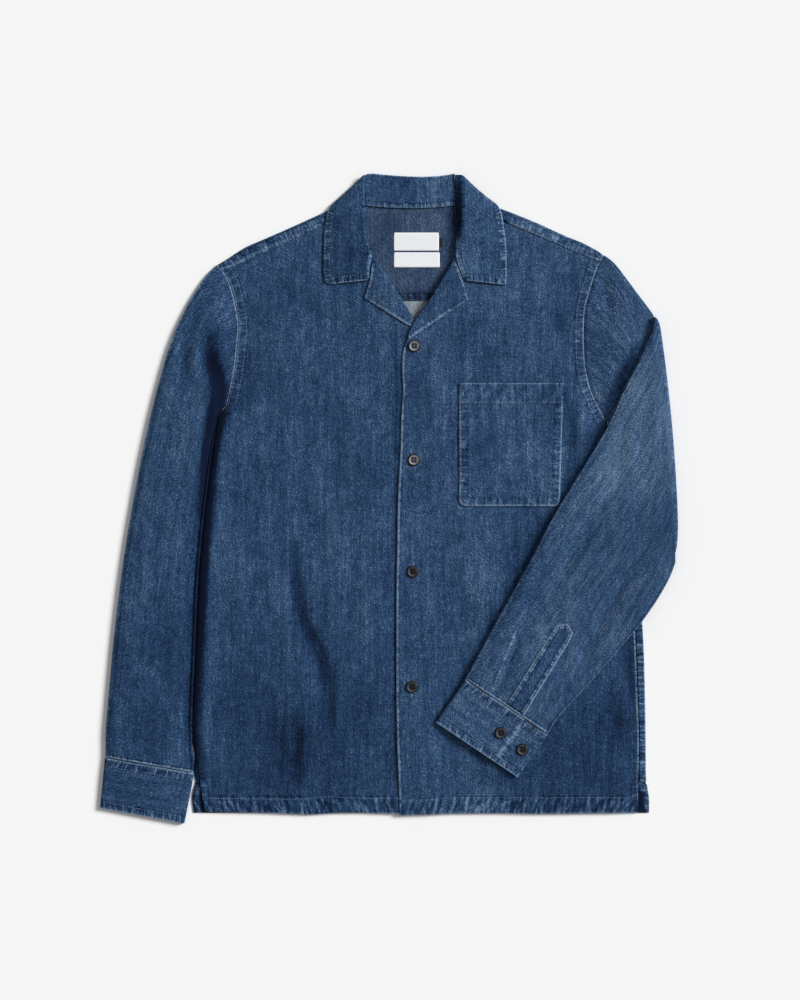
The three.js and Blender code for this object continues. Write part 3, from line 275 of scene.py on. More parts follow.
SLEEVE_RIGHT_CREASES = (
    (2.8, 8, ((-237, 641), (-252, 616), (-268, 580), (-276, 544), (-274, 512))),
    (4.2, 11, ((-243, 582), (-247, 545), (-231, 514), (-226, 490))),
    (-1.5, 9, ((-262, 566), (-256, 520))),
    (-0.9, 8, ((-232, 620), (-226, 590))),
    (2.6, 12, ((-236, 474), (-245, 402), (-254, 330), (-261, 230), (-266, 140), (-266, 60))),
    (1.4, 14, ((-307, 268), (-295, 178))),
    (1.1, 13, ((-328, 140), (-316, 82))),
    (1.0, 12, ((-297, 470), (-300, 400))),
)
UPPER_ARM_CREASES = (
    (1.9, 7, ((225, 650), (232, 612), (233, 578))),
    (1.2, 9, ((243, 560), (250, 500))),
    (-0.8, 8, ((246, 640), (256, 596))),
)
FOREARM_CREASES = (
    (2.9, 9, ((251, 408), (212, 352), (178, 287), (143, 234), (108, 184))),
    (2.9, 9, ((275, 320), (228, 234), (191, 164), (166, 136))),
    (-1.6, 3, ((130, 246), (116, 204), (93, 146))),
    (2.2, 4, ((136, 246), (122, 204), (99, 145))),
    (-1.8, 8, ((158, 338), (121, 253), (97, 181))),
    (-1.4, 7, ((229, 210), (167, 133))),
    (2.6, 5, ((168, 113), (156, 100))),
    (1.6, 14, ((262, 470), (240, 420))),
    (-1.2, 9, ((272, 500), (255, 412), (170, 334))),
    (1.6, 8, ((268, 310), (242, 258), (212, 190), (188, 142))),
)
NO_CREASES = ()
VALLEY = (
    (-244, 577), (-238, 544), (-230, 496), (-240, 448), (-243, 412), (-248, 352), (-252, 292), (-255, 244),
    (-259, 184), (-262.5, 124), (-263.5, 94), (-257.5, 46),
)
# Shadows that the folds keep in the photograph's flat light: how dark, how wide and where.
SHADOWS = {
    "front_right_cloth": (
        (1.1, 7, VALLEY), (0.8, 6, ((-222, 512), (-226, 492), (-236, 452), (-241, 420))),
        (0.4, 2.2, ((-20.4, 561), (-20.4, 15))),
    ),
    "sleeve_right_cloth": (
        (0.5, 8, VALLEY), (1.1, 8, ((-240, 545), (-233, 505), (-242, 452), (-246, 412), (-251, 360))),
    ),
    "collar_back_cloth": ((0.7, 4, ((52, 768), (51, 726))),),
    "collar_leaf_left_cloth": ((0.9, 4.5, ((54, 768), (55, 740), (55, 705), (53, 690))),),
    "front_left_cloth": (
        (0.16, 8, ((281, 586), (233, 484), (164, 358), (116, 274), (74, 190), (29, 118))),
    ),
    "sleeve_left_cloth": ((0.6, 6, ((272, 562), (262, 545), (243, 508), (229, 476))),),
    "back_cloth": ((1.1, 8, VALLEY[3:]),),
    "yoke_inner_cloth": ((0.35, 9, ((-26, 617), (30, 617))), (0.3, 8, ((48, 726), (50, 690)))),
}
CREASE_SHADE = 0.075  # painted shade: how much darker a crease is painted, for each millimetre of its depth; a ridge is painted lighter

# Where a piece is lighter or darker: x, y, radius and amount. On the collar leaves this is painted light and
# shade.
TONE_PATCHES = {
    "front_right_cloth": (
        (-140, 80, 120, -0.2), (-230, 250, 60, -0.06), (-60, 40, 70, -0.04), (-200, 560, 80, -0.06),
    ),
    "front_left_cloth": (
        (214, 70, 90, -0.2), (120, 60, 70, -0.04), (60, 0, 50, 0.08), (90, 640, 60, 0.05),
        (20, 330, 60, 0.05),
    ),
    "sleeve_right_cloth": ((-300, 150, 90, -0.09), (-310, 460, 60, 0.06)),
    "sleeve_left_cloth": (
        (280, 480, 80, 0.2), (240, 410, 50, 0.14), (165, 215, 45, 0.14), (95, 150, 34, 0.12),
        (200, 300, 80, 0.04), (240, 640, 50, 0.02),
    ),
    "cuff_left_cloth": ((90, 100, 60, 0.13),),
    "cuff_right_cloth": ((-330, 10, 60, -0.05),),
    "yoke_outer_cloth": ((180, 690, 70, 0.16), (-180, 690, 60, -0.02)),
    # Painted shade on the right leaf, which slopes away from the light, and painted light on the left leaf,
    # which slopes towards it.
    "collar_leaf_right_cloth": ((-80, 690, 60, -0.1),),
    "collar_leaf_left_cloth": ((85, 690, 70, 0.1),),
    "collar_back_cloth": ((0, 745, 60, 0.06),),
    "back_cloth": ((276, 120, 80, 0.04),),
}


def mix(a, b, t):
    return a + (b - a) * t


def smoothstep(value):
    t = np.clip(value, 0, 1)
    return t * t * (3 - 2 * t)


def last_place(tab):
    return len(next(iter(tab.values()))) - 1


def at(tab, places):
    """The columns of a table at places between its rows, on smooth curves."""
    places = np.asarray(places, dtype=float)
    last = last_place(tab)
    k = np.clip(np.floor(places).astype(int), 0, max(last - 1, 0))
    t = places - k
    before, after, beyond = np.maximum(k - 1, 0), np.minimum(k + 1, last), np.minimum(k + 2, last)
    found = {}
    for name, column in tab.items():
        p, q, r, s = column[before], column[k], column[after], column[beyond]
        found[name] = q + 0.5 * t * (r - p + t * (2 * p - 5 * q + 4 * r - s + t * (3 * (q - r) + s - p)))
    return found


def straight_at(tab, places):
    """The columns of a table at places between its rows, on straight lines."""
    index = np.arange(last_place(tab) + 1)
    return {name: np.interp(places, index, column) for name, column in tab.items()}


def places_along(tab, pairs, step, first=0, last=None):
    """Places along a table about one step apart, measured on the faster of its pairs of columns."""
    last = last_place(tab) if last is None else last
    fine = np.linspace(first, last, int(40 * (last - first)) + 1)
    rows = at(tab, fine)
    moves = [np.hypot(np.diff(rows[x]), np.diff(rows[y])) for x, y in pairs]
    length = np.concatenate([[0], np.cumsum(np.max(moves, axis=0))])
    count = max(2, math.ceil(length[-1] / step))
    return np.interp(np.linspace(0, length[-1], count + 1), length, fine)


def nearest(path, x, y):
    """Distance of each point from a path, the length along the path there, and the path's whole length."""
    path = np.asarray(path, dtype=float)
    best = np.full(np.shape(x), 1e9)
    along = np.zeros(np.shape(x))
    run = 0.0
    for (ax, ay), (bx, by) in zip(path[:-1], path[1:]):
        length = math.hypot(bx - ax, by - ay)
        t = np.clip(((x - ax) * (bx - ax) + (y - ay) * (by - ay)) / length**2, 0, 1)
        distance = np.hypot(x - mix(ax, bx, t), y - mix(ay, by, t))
        closer = distance < best
        best = np.where(closer, distance, best)
        along = np.where(closer, run + t * length, along)
        run += length
    return best, along, run


def troughs(folds, x, y):
    """Depth of all the troughs of a list at each point."""
    depth = np.zeros(np.shape(x))
    for deep, width, path in folds:
        distance, along, whole = nearest(path, x, y)
        taper = 0.35 + 0.65 * np.sin(math.pi * along / whole)
        depth += deep * taper * np.exp(-((distance / width) ** 2))
    return depth


def painted_shade_and_tone(name, x, y, creases):
    """How much lighter or darker a piece is at each point: painted shade in its creases, painted light on its
    ridges, its painted shadows and its tone patches.
    """
    shade_and_tone = -CREASE_SHADE * troughs(creases, x, y) - troughs(SHADOWS.get(name, NO_CREASES), x, y)
    for px, py, radius, amount in TONE_PATCHES.get(name, ()):
        shade_and_tone = shade_and_tone + amount * np.exp(-(((x - px) ** 2 + (y - py) ** 2) / radius**2))
    return shade_and_tone


def ripple(t, seed):
    """Smooth uneven waves with a crest about every unit, from -1 to 1."""
    knots = np.random.default_rng(seed).uniform(0.25, 1, 2048) * np.tile([1, -1], 1024)
    t = np.asarray(t) * 2 + 512
    k = np.floor(t).astype(int)
    f = smoothstep(t - k)
    return mix(knots[k % 2048], knots[(k + 1) % 2048], f)


def rumple(x, y, scale, seed):
    """Soft uneven bumps of about one scale across, from -1 to 1."""
    lattice = np.random.default_rng(seed).uniform(-1, 1, (64, 64))
    u, v = np.asarray(x) / scale + 32.0, np.asarray(y) / scale + 32.0
    i, j = np.floor(u).astype(int), np.floor(v).astype(int)
    f, g = smoothstep(u - i), smoothstep(v - j)
    low = mix(lattice[i % 64, j % 64], lattice[(i + 1) % 64, j % 64], f)
    high = mix(lattice[i % 64, (j + 1) % 64], lattice[(i + 1) % 64, (j + 1) % 64], f)
    return mix(low, high, g)


def roll_rise(roll, x, y):
    distance, along, whole = nearest(np.stack([roll["x"], roll["y"]], axis=1), x, y)
    rise = at(roll, along / whole * last_place(roll))["rise"]
    return rise * (1 - smoothstep((distance - ROLL_INNER) / (ROLL_OUTER - ROLL_INNER)))


def yoke_under(x, y):
    return NECK_LIFT * smoothstep((100 - np.abs(x)) / 28) * smoothstep((y - 660) / 52)


def dome(share):
    """A quarter round from 0 to 1, steep at first."""
    return np.sqrt(np.maximum(1 - (1 - np.clip(share, 0, 1)) ** 2, 0))


def front_ground(x, y):
    right_edge = np.interp(y, FRONT_RIGHT["side_y"], FRONT_RIGHT["side_x"])
    left_edge = np.interp(y, FRONT_LEFT["side_y"], FRONT_LEFT["side_x"])
    beside_sleeve = smoothstep((y - 40) / 40) * smoothstep((492 - y) / 20)
    from_right = mix(smoothstep((x - right_edge) / 40), dome((x - right_edge) / SIDE_ROLL), beside_sleeve)
    from_left = smoothstep((left_edge - x) / 34)
    from_hem = mix(0.35, 1, smoothstep(y / 70))
    shoulder = YOKE_SEAM_Y + 35 + 0.3 * (160 - np.abs(x))
    body = from_right * from_left * from_hem * smoothstep((shoulder - y) / 60)
    uneven = 0.75 * rumple(x, y * 0.55, 58, 11) + 0.3 * rumple(x, y * 0.6, 23, 12)
    beside = x - right_edge
    uneven = uneven + SIDE_PUFF * np.exp(-(((beside - SIDE_ROLL) / 9) ** 2)) * beside_sleeve
    swell = body * (SWELL + uneven - troughs(FRONT_CREASES, x, y))
    return LAYER + yoke_under(x, y) + np.maximum(swell, 0)


def front_right_under(x, y):
    return front_ground(x, y) + roll_rise(ROLL_RIGHT, x, y)


def front_left_under(x, y):
    reach = mix(18, -20, smoothstep((y - 555) / 60))
    over = OVERLAP_LIFT * (1 - smoothstep((x - reach) / 26))
    plain = front_ground(x, y) + roll_rise(ROLL_LEFT, x, y)
    on_right = front_right_under(x, y) + OVERLAP_LIFT
    return np.where(x < reach, np.maximum(plain, on_right), plain + over)


def inside_under(x, y):
    return yoke_under(x, y) + LAYER


def seam(path, width, lift=0.0, amp=0.0, pitch=5.0, slant=0.0, wear=1.0, stitches=()):
    """A sewn edge: its path in plan, how wide its turned cloth is, how it puckers and how it is worn."""
    return {
        "path": np.asarray(path, dtype=float), "width": width, "lift": lift, "amp": amp,
        "pitch": pitch, "slant": slant, "wear": wear, "stitches": stitches,
    }


def seam_relief(seams, x, y):
    """What the seams do at each point: the height they add, and the masks that the denim shader reads."""
    relief = {name: np.zeros(np.shape(x)) for name in ("lift", "ridge", "band", "along", "wear")}
    relief["off"] = np.full(np.shape(x), FAR)
    relief["inner"] = np.full(np.shape(x), FAR)
    for number, s in enumerate(seams):
        distance, along, _ = nearest(s["path"], x, y)
        band = 1 - smoothstep((distance - s["width"]) / 2.4)
        slanted = along + s["slant"] * distance
        waves = 0.7 * ripple(slanted / s["pitch"], 100 + number)
        waves += 0.3 * ripple(slanted / (s["pitch"] * 2.3), 7)
        inner = np.exp(-(((distance - s["width"]) / 3.2) ** 2))
        pucker = waves * (0.75 * band + 0.45 * inner)
        taken = distance - s["width"] < relief["inner"]
        values = {"ridge": pucker * min(1.0, s["amp"] * 3.2), "along": slanted / s["pitch"], "off": distance,
                  "inner": distance - s["width"], "wear": s["wear"] * (1 - smoothstep((distance - 3) / 4))}
        for name, value in values.items():
            relief[name] = np.where(taken, value, relief[name])
        relief["lift"] = np.maximum(relief["lift"], s["lift"] * band) + np.where(taken, s["amp"] * pucker, 0)
        relief["band"] = np.maximum(relief["band"], band * min(1.0, 0.35 + 2.2 * s["amp"]))
    return relief


def to_frame(points):
    """Garment millimetres to the row frame's metres."""
    return (np.asarray(points, dtype=float) - (CENTRE_X, CENTRE_Y, 0)) * MM


pieces = {}


def add_mesh(name, points, quads, smooth=True):
    """A mesh object from points in metres and faces of four corners each."""
    mesh = bpy.data.meshes.new(name)
    mesh.vertices.add(len(points))
    mesh.vertices.foreach_set("co", np.asarray(points, dtype=np.float32).ravel())
    mesh.loops.add(quads.size)
    mesh.loops.foreach_set("vertex_index", quads.ravel().astype(np.int32))
    mesh.polygons.add(len(quads))
    mesh.polygons.foreach_set("loop_start", np.arange(0, quads.size, 4, dtype=np.int32))
    mesh.update(calc_edges=True)
    mesh.polygons.foreach_set("use_smooth", np.full(len(quads), smooth))
    thing = bpy.data.objects.new(name, mesh)
    bpy.context.collection.objects.link(thing)
    pieces[name] = thing
    return thing


def set_attribute(thing, name, values):
    layer = thing.data.attributes.new(name, "FLOAT", "POINT")
    layer.data.foreach_set("value", np.asarray(values, dtype=np.float32).ravel())


def squares(a, b, c, d):
    """Faces of four corners, from four grids of point numbers."""
    return np.stack([a.ravel(), b.ravel(), c.ravel(), d.ravel()], axis=1)


def shell(name, outer, inner, cloth_uv, relief, ring=False, creases=NO_CREASES, shade=0, wrong_side=1):
    """A closed wall of cloth between two grids of points, with the values that the denim shader reads."""
    rows, columns = outer.shape[:2]
    grid = np.arange(rows * columns).reshape(rows, columns)
    under = grid + rows * columns
    if ring:
        wrapped, wrapped_under = (np.concatenate([g, g[:, :1]], axis=1) for g in (grid, under))
    else:
        wrapped, wrapped_under = grid, under

    w, v = wrapped, wrapped_under
    found = [
        squares(w[:-1, :-1], w[:-1, 1:], w[1:, 1:], w[1:, :-1]),
        squares(v[:-1, :-1], v[1:, :-1], v[1:, 1:], v[:-1, 1:]),
        squares(w[0, 1:], w[0, :-1], v[0, :-1], v[0, 1:]),
        squares(w[-1, :-1], w[-1, 1:], v[-1, 1:], v[-1, :-1]),
    ]
    if not ring:
        found.append(squares(w[:-1, 0], w[1:, 0], v[1:, 0], v[:-1, 0]))
        found.append(squares(w[1:, -1], w[:-1, -1], v[:-1, -1], v[1:, -1]))
    quads = np.concatenate(found)
    points = np.concatenate([outer.reshape(-1, 3), inner.reshape(-1, 3)])
    a, b, c, d = (points[quads[:, n]] for n in range(4))
    spans = np.cross(c - a, d - b)
    if np.einsum("ij,ij->", (a + b + c + d) / 4, spans) < 0:
        quads = quads[:, ::-1]
    thing = add_mesh(name, to_frame(points), quads)
    uv = np.concatenate([cloth_uv.reshape(-1, 2)] * 2) * MM
    layer = thing.data.uv_layers.new(name="cloth")
    layer.data.foreach_set("uv", uv[quads.ravel()].astype(np.float32).ravel())
    # Painted shade from the creases, the shadows and the shade argument, with the tone patches.
    masks = relief | {"shade_and_tone": painted_shade_and_tone(name, outer[..., 0], outer[..., 1], creases) - shade}
    for key in ("ridge", "band", "along", "off", "wear", "inner", "shade_and_tone"):
        set_attribute(thing, key, np.concatenate([masks[key].ravel()] * 2))
    inside = np.stack([np.zeros((rows, columns)), np.full((rows, columns), wrong_side)])
    set_attribute(thing, "inside", inside)
    return thing


def edged(count, inset=0.004):
    """Fractions from 0 to 1 with one more point just inside each end, for a rounded edge."""
    return np.concatenate([[0, inset], np.linspace(0, 1, count + 1)[1:-1], [1 - inset, 1]])


def rounded(height, drop=0.4):
    """Lowers the outermost points of a grid of heights, which rounds the cloth's edge."""
    height = height.copy()
    for edge in (height[0], height[-1], height[:, 0], height[:, -1]):
        edge -= drop
    return height


def panel(name, start, end, across, under, seams=(), thickness=CLOTH, drop=0.4, creases=NO_CREASES, hem=None):
    """Cloth that lies flat between two rows of points in plan, its underside a function of the place."""
    x = mix(start[:, 0, None], end[:, 0, None], across[None])
    y = mix(start[:, 1, None], end[:, 1, None], across[None])
    if hem is not None:
        y = y + np.interp(x, *zip(*hem)) * (1 - smoothstep(y / 34))
    low = under(x, y)
    relief = seam_relief(seams, x, y)
    high = rounded(low + thickness + relief["lift"], drop=drop)
    outer = np.stack([x, y, high], axis=2)
    inner = np.stack([x, y, low], axis=2)
    return shell(name, outer, inner, np.stack([x, y], axis=2), relief, creases=creases)


def thicken(chain, thickness):
    """Points of chains of [along, height] moved to the chain's right, for a bent wall's other side."""
    step = np.gradient(chain, axis=-2)
    length = np.maximum(np.linalg.norm(step, axis=-1, keepdims=True), 1e-9)
    normal = np.stack([step[..., 1], -step[..., 0]], axis=-1) / length
    return chain + normal * thickness


def half_turn(along, height, radius, way, steps=8):
    angle = np.linspace(0, math.pi, steps + 1)
    return np.stack([along + way * radius * np.sin(angle), height + radius * np.cos(angle)], axis=1)


def line(a, b, count, height):
    t = np.linspace(0, 1, count)
    return np.stack([mix(a, b, t), np.full(count, height)], axis=1)


def path_of(tab, x, y, count=24, first=0, last=None):
    """Points along two columns of a table."""
    rows = at(tab, np.linspace(first, last_place(tab) if last is None else last, count))
    return np.stack([rows[x], rows[y]], axis=1)


def ends_of(tab, places, inset=SEAM):
    """Both sides of a front at places along its table, the side edge drawn in by the seam's space."""
    rows = at(tab, places)
    start = np.stack([rows["side_x"] - np.sign(rows["side_x"]) * inset, rows["side_y"]], axis=1)
    return start, np.stack([rows["edge_x"], rows["edge_y"]], axis=1)


def make_front(name, tab, seams, columns, under, wave, close):
    """One front, from its side to its opening edge. close draws its side up to the sleeve."""
    places = places_along(tab, (("side_x", "side_y"), ("edge_x", "edge_y")), GRID)
    places = np.concatenate([[0, 0.012], places[1:]])
    start, end = ends_of(tab, places)
    beside = smoothstep((start[:, 1] - 70) / 30) * smoothstep((488 - start[:, 1]) / 10)
    start[:, 0] -= close * beside
    return panel(name, start, end, edged(columns, 0.002), under, seams, creases=FRONT_CREASES, hem=wave)


def make_fronts():
    """The two fronts, with their hems, armhole seams, facings and vents."""
    hem = [(-250, 1), (-140, 0.5), (-120, -1.5), (-86, 0), (-44, 0.5), (16, -1)]
    seams = [
        seam(hem, HEM_DEPTH, 0.8, 0.4, 7.0, 0.3),
        seam(path_of(ARMHOLE_RIGHT, "x", "y"), 11, 0.55, 0.16, 3.6, wear=1.3),
        seam(path_of(FRONT_RIGHT, "side_x", "side_y", 4, 0, 1), 7, 0.3, 0.2),
    ]
    right = make_front("front_right_cloth", FRONT_RIGHT, seams, 104, front_right_under,
                       HEM_WAVE_RIGHT, SIDE_CLOSE)

    hem = [(270, 1), (196, 0.5), (132, -0.5), (50, 0), (14, -2), (-16, -2)]
    seams = [
        seam(hem, HEM_DEPTH, 0.8, 0.4, 7.0, 0.3),
        seam(path_of(ARMHOLE_LEFT, "x", "y"), 11, 0.55, 0.16, 3.6, wear=1.3),
        seam(path_of(FRONT_LEFT, "side_x", "side_y", 14, 0.9, 9), 1.5, 0.1, 0.15),
        seam(path_of(FRONT_LEFT, "side_x", "side_y", 4, 0, 1), 7, 0.3, 0.2),
        seam(path_of(FRONT_LEFT, "edge_x", "edge_y", 20, 0, 12.2), 2.5, 0.25, 0.06, 9, wear=1.3),
    ]
    left = make_front("front_left_cloth", FRONT_LEFT, seams, 110, front_left_under,
                      HEM_WAVE_LEFT, 0)
    return right, left


def make_lapels():
    """The facings turned back at the neck opening."""
    made = []
    for name, tab, under in (
        ("lapel_right_cloth", LAPEL_RIGHT, front_right_under),
        ("lapel_left_cloth", LAPEL_LEFT, front_left_under),
    ):
        places = places_along(tab, (("roll_x", "roll_y"), ("out_x", "out_y")), 1.3)
        places = np.unique(np.concatenate([places, np.arange(1, last_place(tab))]))
        rows = straight_at(tab, places)
        start = np.stack([rows["roll_x"], rows["roll_y"]], axis=1)
        end = np.stack([rows["out_x"], rows["out_y"]], axis=1)
        edge = path_of(tab, "out_x", "out_y", 20)
        seams = [seam(edge, 3, 0.25, 0.1, 6, wear=1.2)]

        def lifted(x, y, under=under):
            return under(x, y) + LAYER + 0.1

        made.append(panel(name, start, end, edged(20, 0.02), lifted, seams))
    return made


def x_at_height(tab, y):
    return np.interp(y, tab["y"][::-1], tab["x"][::-1])


def make_back():
    """The back: flat, then round the left side and up onto the front, and open at the vents."""
    radius = SIDE_TURN / 2
    places = places_along(BACK, (("right", "y"), ("left", "y")), 5)
    rows = at(BACK, places)
    upper = np.linspace(460, YOKE_SEAM_Y - SEAM, 34)
    right = x_at_height(ARMHOLE_LEFT, upper)
    y = np.concatenate([rows["y"], upper])
    eased = mix(237, right, smoothstep((upper - 456) / 22))
    right = np.concatenate([rows["right"], np.where(upper < 478, eased, right)])
    left = np.concatenate([rows["left"], x_at_height(ARMHOLE_RIGHT, upper)])
    left = np.where(y < 456, left - smoothstep((y - 36) / 12) - 5 * np.exp(-(((y - 49) / 13) ** 2)), left)
    turned_over = np.concatenate([np.clip((rows["y"] - 36) / 3, 0, 1), np.zeros(34)])
    seam_x = np.concatenate([rows["seam"], right[len(rows["y"]):] - 6])
    outer, inner = [], []
    for n in range(len(y)):
        edge = right[n] - radius
        flat = line(left[n], edge - 2, 90, 0.0)
        turn = half_turn(edge, radius, radius, 1)[::-1]
        lap = line(edge - 0.6, seam_x[n], 6, SIDE_TURN)
        turned = np.concatenate([turn, lap])
        plain = line(edge - 1.2, right[n], len(turned), 0.0)
        chain = np.concatenate([flat, mix(plain, turned, smoothstep(turned_over[n]))])
        outer.append(chain)
        inner.append(thicken(chain, -CLOTH))
    place = []
    for grid in (np.array(outer), np.array(inner)):
        y_column = np.broadcast_to(y[:, None, None], grid[..., :1].shape)
        place.append(np.concatenate([grid[..., :1], y_column, grid[..., 1:]], axis=2))
    x_grid, y_grid = place[0][..., 0], place[0][..., 1]
    side = np.stack([rows["right"], rows["y"]], axis=1)
    hem = [(-263, 0.5), (283, 0.5)]
    seams = [seam(side[::6], 9, 0.1, 0.3, 4.4), seam(hem, HEM_DEPTH, 0.1, 0.3, 7.0, 0.3)]
    relief = seam_relief(seams, x_grid, y_grid)
    turned_part = np.arange(x_grid.shape[1]) > 95
    place[0][..., 2] += np.where(turned_part[None], relief["lift"] * turned_over[:, None], 0)
    # The vents' slits are painted dark, as the shade in the gap.
    slit_left = (x_grid > -256.3) & (x_grid < 0)
    slit_right = (x_grid < 270 + 10.5 * (1 - y_grid / 36)) & (x_grid > 0)
    slit = (slit_left | slit_right) & (y_grid < SLIT_TOP)
    cloth_uv = np.stack([x_grid, y_grid], axis=2)
    return shell("back_cloth", place[0], place[1], cloth_uv, relief,
                 shade=SLIT_SHADE * slit, wrong_side=y_grid > NECK_BOTTOM)


def make_yoke():
    """The outer yoke, turned over the shoulders to its front seams, and the inner one in the neck."""
    radius = SIDE_TURN / 2
    places = np.linspace(0, last_place(YOKE), 150)
    rows = at(YOKE, places)
    lapped = np.interp(places, np.arange(last_place(YOKE) + 1), YOKE["lap"])
    outer, inner = [], []
    for n in range(len(places)):
        edge = rows["fold"][n] - radius
        lap = line(rows["seam"][n] + SEAM, edge - 0.5, 8, SIDE_TURN)
        lap = np.concatenate([lap, half_turn(edge, radius, radius, 1)])
        flat = line(rows["fold"][n], edge - 1, len(lap), 0.0)
        chain = np.concatenate([mix(flat, lap, smoothstep(lapped[n])), line(edge - 2, YOKE_SEAM_Y, 34, 0.0)])
        outer.append(chain)
        inner.append(thicken(chain, CLOTH))
    first, last = YOKE["x"][0], YOKE["x"][-1]
    share = ((rows["x"] - first) / (last - first))[:, None]
    place = []
    for chain in (np.array(outer), np.array(inner)):
        y = chain[..., 0]
        low = np.minimum(y, 669)
        right = np.where(y > 658, first, x_at_height(ARMHOLE_RIGHT, low))
        x = mix(right, np.minimum(x_at_height(ARMHOLE_LEFT, low), last), share)
        place.append(np.stack([x, y, np.maximum(chain[..., 1] + yoke_under(x, y), 0)], axis=2))
    x_grid, y_grid = place[0][..., 0], place[0][..., 1]
    seams = []
    for first_row, last_row in ((0, 5), (13, 18)):
        seams.append(seam(path_of(YOKE, "x", "seam", 12, first_row, last_row), 9, 0.35, 0.25, 4.6))
    relief = seam_relief(seams, x_grid, y_grid)
    on_top = (np.arange(x_grid.shape[1]) < 9)[None] * smoothstep(lapped)[:, None]
    place[0][..., 2] += relief["lift"] * on_top
    yoke = shell("yoke_outer_cloth", place[0], place[1], np.stack([y_grid, x_grid], axis=2), relief)

    rows = at(YOKE_INSIDE, np.linspace(0, last_place(YOKE_INSIDE), 56))
    start = np.stack([rows["left"], rows["y"]], axis=1)
    end = np.stack([rows["right"], rows["y"]], axis=1)
    seams = [seam([(-26, YOKE_SEAM_Y), (30, YOKE_SEAM_Y)], 7, 0.3, 0.25, 6),
             seam([(-60, 728), (48, 728)], 2, 0.1, 0.1, 4.4, wear=0)]
    inside = panel("yoke_inner_cloth", start, end, edged(56, 0.01), inside_under, seams)
    return yoke, inside


def flat_ring(height, width, top, thickness, counts=RING_COUNTS):
    """A ring of a flattened tube, as [across, height]: over the top, round an end, below, round the other."""
    over_count, end_count, below_count = counts
    radius = height / 2
    s = np.linspace(0, 1, over_count)
    over = np.stack([mix(radius, width - radius, s), height + top], axis=1)
    t = math.pi * np.linspace(0, 1, end_count + 2)[1:-1]
    near_end = np.stack([width - radius + radius * np.sin(t), radius + radius * np.cos(t)], axis=1)
    below = line(width - radius, radius, below_count, 0.0)
    far_end = np.stack([radius - radius * np.sin(t), radius - radius * np.cos(t)], axis=1)
    outer = np.concatenate([over, near_end, below, far_end])
    inner = outer.copy()
    shrink = (radius - thickness) / radius
    inner[:over_count, 1] = np.maximum(over[:, 1] - thickness, thickness + SEAM)
    for first, count, middle in (
        (over_count, end_count, width - radius),
        (over_count + end_count + below_count, end_count, radius),
    ):
        part = slice(first, first + count)
        inner[part, 0] = middle + (outer[part, 0] - middle) * shrink
        inner[part, 1] = radius + (outer[part, 1] - radius) * shrink
    inner[over_count + end_count:over_count + end_count + below_count, 1] = thickness
    return outer, inner


def rolled(s, width, height):
    """How far the top of a sleeve lies below its crown, at a fraction across, near both folded edges."""
    edge = np.minimum(s, 1 - s) * width
    return (dome(edge / SLEEVE_ROLL) - 1) * height * 0.4


def width_of(row):
    return np.hypot(row["in_x"] - row["out_x"], row["in_y"] - row["out_y"])


def plan_of(row, s, bow):
    """Plan places of the fractions across a section."""
    bow_x, bow_y = bow(s)
    return mix(row["out_x"], row["in_x"], s) + bow_x, mix(row["out_y"], row["in_y"], s) + bow_y


def lay(row, chain, width, bow):
    """Points of a ring laid along a section's line, with the section's bow: x, y and the ring's height."""
    s = chain[:, 0] / width
    bow_x, bow_y = bow(np.clip(s, 0, 1))
    x = mix(row["out_x"], row["in_x"], s) + bow_x
    y = mix(row["out_y"], row["in_y"], s) + bow_y
    return np.stack([x, y, chain[:, 1]], axis=1)


def armhole_bow(curve, place, space):
    """How far the armhole's curve bends a sleeve's section at a place along the sleeve."""
    share = np.interp(place, np.arange(len(ARMHOLE_SHARES)), ARMHOLE_SHARES)

    def bow(s):
        point = at(curve, s * last_place(curve))
        ends = [(curve[axis][0], curve[axis][-1]) for axis in ("x", "y")]
        bend = [share * (point[axis] - mix(low, high, s)) for axis, (low, high) in zip(("x", "y"), ends)]
        return bend[0] + space, bend[1]

    return bow


def fold_bow(s):
    return FOLD_BOW * 4 * s * (1 - s)


def single(tab, place):
    return {name: float(value) for name, value in at(tab, np.array(place)).items()}


def tube(name, rings, uv_rows, relief, creases=NO_CREASES):
    outer = np.array([ring[0] for ring in rings])
    inner = np.array([ring[1] for ring in rings])
    return shell(name, outer, inner, np.array(uv_rows), relief, ring=True, creases=creases)


